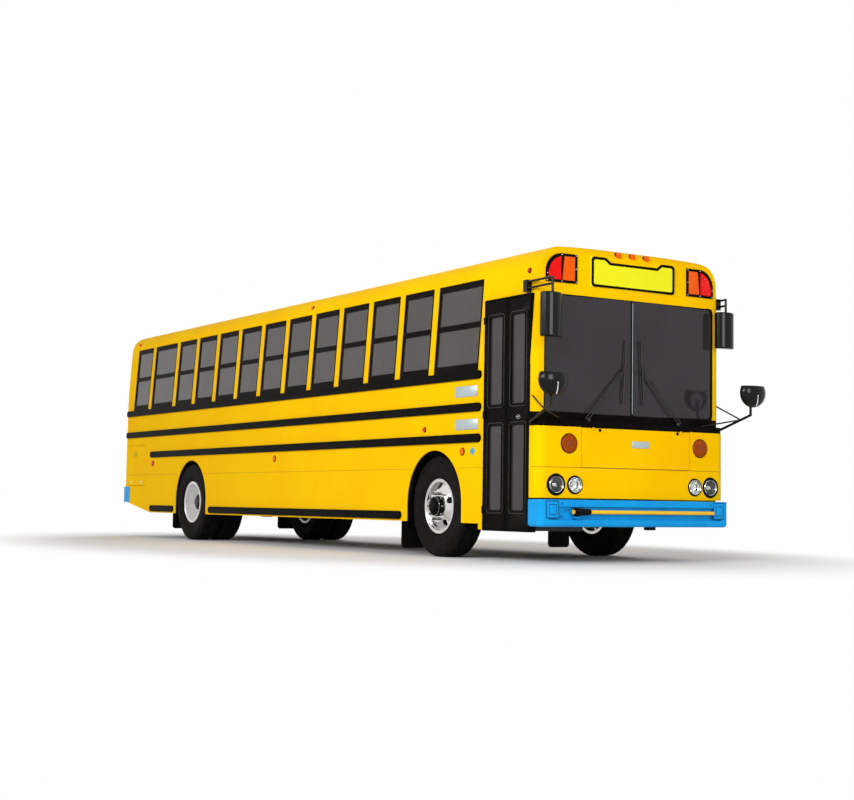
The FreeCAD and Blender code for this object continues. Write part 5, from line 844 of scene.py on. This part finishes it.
settle("arm_sleeve", sleeve, "seal_rubber", "arm")
settle("arm_barrel", barrel, "seal_rubber", "arm")

# ---- stop sign
STOP_X, STOP_Z, ACROSS = datum + 0.560, BASE + 1.705, 0.450
face_y = flank + 0.022 + 0.014 + 0.012


def octagon(across):
    """Corner points (x, z) of the stop sign's border."""
    corners = (polar(across / 2 / polar(1, 22.5)[0], 22.5 + 45 * k) for k in range(8))
    return [(STOP_X + u, STOP_Z + v) for u, v in corners]


border, lights = blanks(2)
for y, out in ((face_y, 1), (face_y - 0.012, -1)):
    tube(border, [(x, y - out * 0.0010, z) for x, z in octagon(ACROSS - 0.022)], 0.0030, closed=True, sides=1)
    for z in (STOP_Z + 0.150, STOP_Z - 0.150):
        lathe(lights, [(0, 0), (0.042, 0), (0.042, 0.008), (0.034, 0.018), (0.018, 0.024), (0, 0.025)],
              (STOP_X, y, z), (0, out, 0), 28)
settle("stop_sign_border", border, "white_sheeting", "stop_arm")
settle("stop_sign_lights", lights, "red_acrylic", "stop_arm")

# ---- emergency door
pane, *_, door = sorted(islands("emergency_door"), key=lambda s: len(s.verts))
pane_low, pane_high = reach(pane)
door_low = reach(door)[0]
settle("emergency_door_panel", door, "yellow_enamel", "exit_door", ["emergency_door"])
settle("emergency_door_pane", pane, "grey_glass", "exit_door")
trim, handle = blanks(2)
outline = round_corners((pane_low.x - 0.001, belt + 0.060), (pane_high.x + 0.001, eave - 0.090), 0.03)
tube(trim, [(x, wall_y(z) - 0.002, z) for x, z in outline], 0.012, closed=True)
settle("emergency_door_gasket", trim, "seal_rubber", "exit_door")
x, z = door_low.x + 0.110, BASE + 1.620
block(handle, (x - 0.035, flank, z - 0.060), (x + 0.035, flank + 0.010, z + 0.060), 0.006)
tube(handle, [(x, flank + 0.008, z), (x, flank + 0.034, z), (x + 0.150, flank + 0.036, z - 0.004)], 0.009)
settle("emergency_door_handle", handle, "chrome", "exit_door")

# ---- rear: louvres, handles, lamps, window, plate
louvres, dark, handles, rings = blanks(4)
# A black sheet under the louvres: painted shade in the slots between them.
for side in SIDES:
    y0, y1 = sorted((side * 0.130, side * 0.780))
    block(dark, (tail - 0.0008, y0 - 0.012, BASE + 0.880), (tail + 0.002, y1 + 0.012, BASE + 1.340), 0.0005)
    for k in range(13):
        z = BASE + 0.905 + 0.033 * k
        section = ((0.0005, 0), (0.016, -0.010), (0.017, -0.006), (0.0005, 0.017))
        plate(louvres, [(tail - out, y0, z + up) for out, up in section], Vector((0, y1 - y0, 0)))
settle("engine_lid_slot_shade", dark, "black_enamel", "rear_lid")
settle("engine_lid_louvres", louvres, "yellow_enamel", "rear_lid")
for y in (-0.72, 0.72):
    z = BASE + 0.835
    block(handles, (tail - 0.008, y - 0.06, z - 0.02), (tail, y + 0.06, z + 0.02), 0.003)
    tube(handles, [(tail - 0.006, y - 0.04, z), (tail - 0.024, y - 0.035, z), (tail - 0.024, y + 0.035, z),
                   (tail - 0.006, y + 0.04, z)], 0.005)
settle("engine_lid_handles", handles, "chrome", "rear_lid")

for z, r in ((1.630, 0.090), (1.420, 0.090), (1.210, 0.063)):
    for y in (-1.060, 1.060):
        lathe(rings, [(r - 0.002, 0.001), (r + 0.012, 0.001), (r + 0.012, 0.012), (r + 0.006, 0.020),
                      (r - 0.002, 0.022)], (tail, y, BASE + z), (-1, 0, 0), 40)
settle("tail_lamp_rings", rings, "seal_rubber")
rear_gasket, rear_trim = blanks(2)
outline = round_corners((-0.760, belt + 0.090), (0.760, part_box("roof_shell")[1].z - 0.515), 0.04)
tube(rear_gasket, [(tail - 0.002, y, z) for y, z in outline], 0.014, closed=True)
settle("rear_window_gasket", rear_gasket, "seal_rubber")
outline = round_corners((-0.160, BASE + 0.545), (0.160, BASE + 0.655), 0.012)
plate(rear_trim, [(tail - 0.0434, y, z) for y, z in outline], Vector((-0.0014, 0, 0)))
settle("number_plate_blank", rear_trim, "white_sheeting")

# ---- battery door
vent, latch = blanks(2)
bat_low, bat_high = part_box("battery_door")
# The vent slats take the darker yellow: painted shade in the slots.
for k in range(5):
    z = bat_high.z - 0.110 - 0.016 * k
    block(vent, (bat_low.x + 0.300, -flank, z), (bat_low.x + 0.460, -flank - 0.003, z + 0.006), 0.001)
settle("battery_door_vent", vent, "yellow_groove_shade", "battery_lid")
for x in (bat_low.x + 0.20, bat_high.x - 0.20):
    lathe(latch, [(0, 0), (0.018, 0), (0.017, 0.003), (0.006, 0.005), (0, 0.005)],
          (x, -flank, bat_low.z + 0.05), (0, -1, 0), 20)
settle("battery_door_latches", latch, "chrome", "battery_lid")

# ---- seats
def cushion(shape, low, high, crown, lean=0.0, hinge=None):
    """A stuffed cover: rounded block whose faces crown and whose sides pull in between the corners."""
    fresh = bmesh.new()
    bmesh.ops.create_cube(fresh, size=1)
    bmesh.ops.subdivide_edges(fresh, edges=fresh.edges[:], cuts=5, use_grid_fill=True)
    size, centre = Vector(high) - Vector(low), (Vector(high) + Vector(low)) / 2
    for vert in fresh.verts:
        u = vert.co * 2
        swell = [1 - max(abs(u[j]), abs(u[k])) ** 2.5 for j, k in ((1, 2), (0, 2), (0, 1))]
        vert.co = Vector([u[i] * (size[i] / 2 - crown * (1 - swell[i])) for i in range(3)]) + centre
    if lean:
        bmesh.ops.rotate(fresh, cent=hinge, matrix=Matrix.Rotation(lean, 3, "Y"), verts=fresh.verts)
    take_in(shape, fresh)


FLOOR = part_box("floor_pan")[1].z
covers, backs, legs = blanks(3)
BACK_LEAN = math.radians(-12)
ROWS, ROW_PITCH = 12, 0.743
for row in range(ROWS):
    x = rear_axle - 2.250 + row * ROW_PITCH
    for side in SIDES:
        y0, y1 = sorted((side * 0.215, side * 1.105))
        cushion(covers, (x + 0.075, y0, FLOOR + 0.330), (x + 0.460, y1, FLOOR + 0.450), 0.018)
        foot = Vector((x + 0.040, 0, FLOOR + 0.340))
        cushion(backs, (foot.x, y0, foot.z + 0.02), (foot.x + 0.095, y1, foot.z + 0.640), 0.018, BACK_LEAN,
                foot)
        rear_leg, front_leg, leg_foot, leg_head = x + 0.128, x + 0.398, FLOOR + 0.012, FLOOR + 0.325
        for y in (y0 + 0.078, y1 - 0.078):
            tube(legs, [(rear_leg, y, leg_foot), (rear_leg, y, leg_head), (front_leg, y, leg_head),
                        (front_leg, y, leg_foot)], 0.0125, sides=1)
            for leg in (rear_leg, front_leg):
                block(legs, (leg - 0.03, y - 0.02, FLOOR + 0.0005), (leg + 0.03, y + 0.02, FLOOR + 0.006),
                      0.002)
x, y = datum + 0.720, 0.560              # the driver's seat
cushion(covers, (x + 0.02, y - 0.250, FLOOR + 0.330), (x + 0.480, y + 0.250, FLOOR + 0.450), 0.025)
foot = Vector((x - 0.010, y, FLOOR + 0.400))
cushion(backs, (foot.x, y - 0.240, foot.z + 0.03), (foot.x + 0.110, y + 0.240, foot.z + 0.760), 0.025,
        math.radians(-10), foot)
block(legs, (x + 0.09, y - 0.15, FLOOR + 0.001), (x + 0.39, y + 0.15, FLOOR + 0.325), 0.012)
settle("seat_frames", legs, "black_enamel")
for name, shape in (("seat_cushions", covers), ("seat_backs", backs)):
    piece = settle(name, shape, "embossed_vinyl", stands_for=["seats"], sharp=80)
    soften = piece.modifiers.new("soft", "SUBSURF")
    soften.levels = soften.render_levels = 1

# ---- camera, lamps and floor
camera_data = bpy.data.cameras.new("view")
camera = bpy.data.objects.new("view", camera_data)
scene.collection.objects.link(camera)
# The camera looks 147 degrees round from +X and a little upwards, with a slight roll.
aim = Matrix.Translation((datum + 14.187, -9.905, BASE + 0.539))
for degrees, axis in ((57.026, "Z"), (94.568, "X"), (0.779, "Z")):
    aim @= Matrix.Rotation(math.radians(degrees), 4, axis)
camera.matrix_world = aim
camera_data.sensor_width, camera_data.lens, camera_data.clip_end = 36, 64.96356, 200
camera_data.shift_x, camera_data.shift_y = -0.0620609, -0.0234192
scene.camera = camera


def lamp(name, location, target, size, power, size_y=None):
    """A rectangular soft lamp that faces a point."""
    data = bpy.data.lights.new(name, "AREA")
    data.shape, data.size, data.size_y, data.energy = "RECTANGLE", size, size_y or size, power
    unit = bpy.data.objects.new(name, data)
    unit.location = location
    unit.rotation_euler = (Vector(target) - Vector(location)).to_track_quat("-Z", "Y").to_euler()
    scene.collection.objects.link(unit)


lamp("key", (12, -13, 7), (3, 0, 1.2), 10, 1450, 5)
lamp("front_strip", (19, -1, 5), (4, 0, 1.5), 5, 620, 5)
lamp("side", (-3, -15, 6), (-3, 0, 1.2), 12, 560, 4)
lamp("rear_fill", (-14, 10, 8), (0, 0, 1.5), 9, 1000, 6)
lamp("top", (0, 0, 13), (0, 0, 0), 16, 180, 8)


def seen_by_camera(tree):
    """1 for what the camera sees, also in gloss and through glass, and 0 for light that falls on the bus."""
    rays = add(tree, "LightPath")
    seen = rays.outputs["Is Camera Ray"]
    for kind in ("Is Glossy Ray", "Is Transmission Ray"):
        seen = add(tree, "Math", [(seen, 0), (rays.outputs[kind], 1)], operation="MAXIMUM").outputs[0]
    return seen


world = bpy.data.worlds.new("studio")
world.use_nodes = True
scene.world = world
sky = world.node_tree
background = sky.nodes["Background"]
level = add(sky, "MapRange", [(seen_by_camera(sky), "Value")], To_Min=0.24, To_Max=1.0)
sky.links.new(level.outputs["Result"], background.inputs["Strength"])
background.inputs["Color"].default_value = (1, 1, 1, 1)

# White paper floor: takes the shadow near the bus and runs out into plain white further off.
paper = finish("floor_paper", "floor_grey", "F4F5F8", "F2F3F6", 4000, 0.9, 0.02)
tree = paper.node_tree
shader, output = tree.nodes["Principled BSDF"], tree.nodes["Material Output"]
place = add(tree, "TexCoord").outputs["Object"]
stretch = add(tree, "Mapping", [(place, "Vector")], Scale=(0.72, 1.3, 1.0))
distance = add(tree, "VectorMath", [(stretch.outputs["Vector"], 0)], operation="LENGTH")
far = add(tree, "MapRange", [(distance.outputs["Value"], "Value")], From_Min=4.0, From_Max=6.6,
          interpolation_type="SMOOTHSTEP")
share = add(tree, "Math", [(seen_by_camera(tree), 0), (far.outputs["Result"], 1)], operation="MULTIPLY")
white = add(tree, "Emission", Color=(1, 1, 1, 1), Strength=1.0)
blend = add(tree, "MixShader", [(share.outputs[0], 0), (shader.outputs[0], 1), (white.outputs[0], 2)])
tree.links.new(blend.outputs[0], output.inputs["Surface"])
ground = bmesh.new()
bmesh.ops.create_circle(ground, cap_ends=True, segments=64, radius=90)
mesh = bpy.data.meshes.new("floor")
ground.to_mesh(mesh)
ground.free()
mesh.materials.append(paper)
floor = bpy.data.objects.new("floor", mesh)
scene.collection.objects.link(floor)

scene.view_settings.view_transform = "Standard"
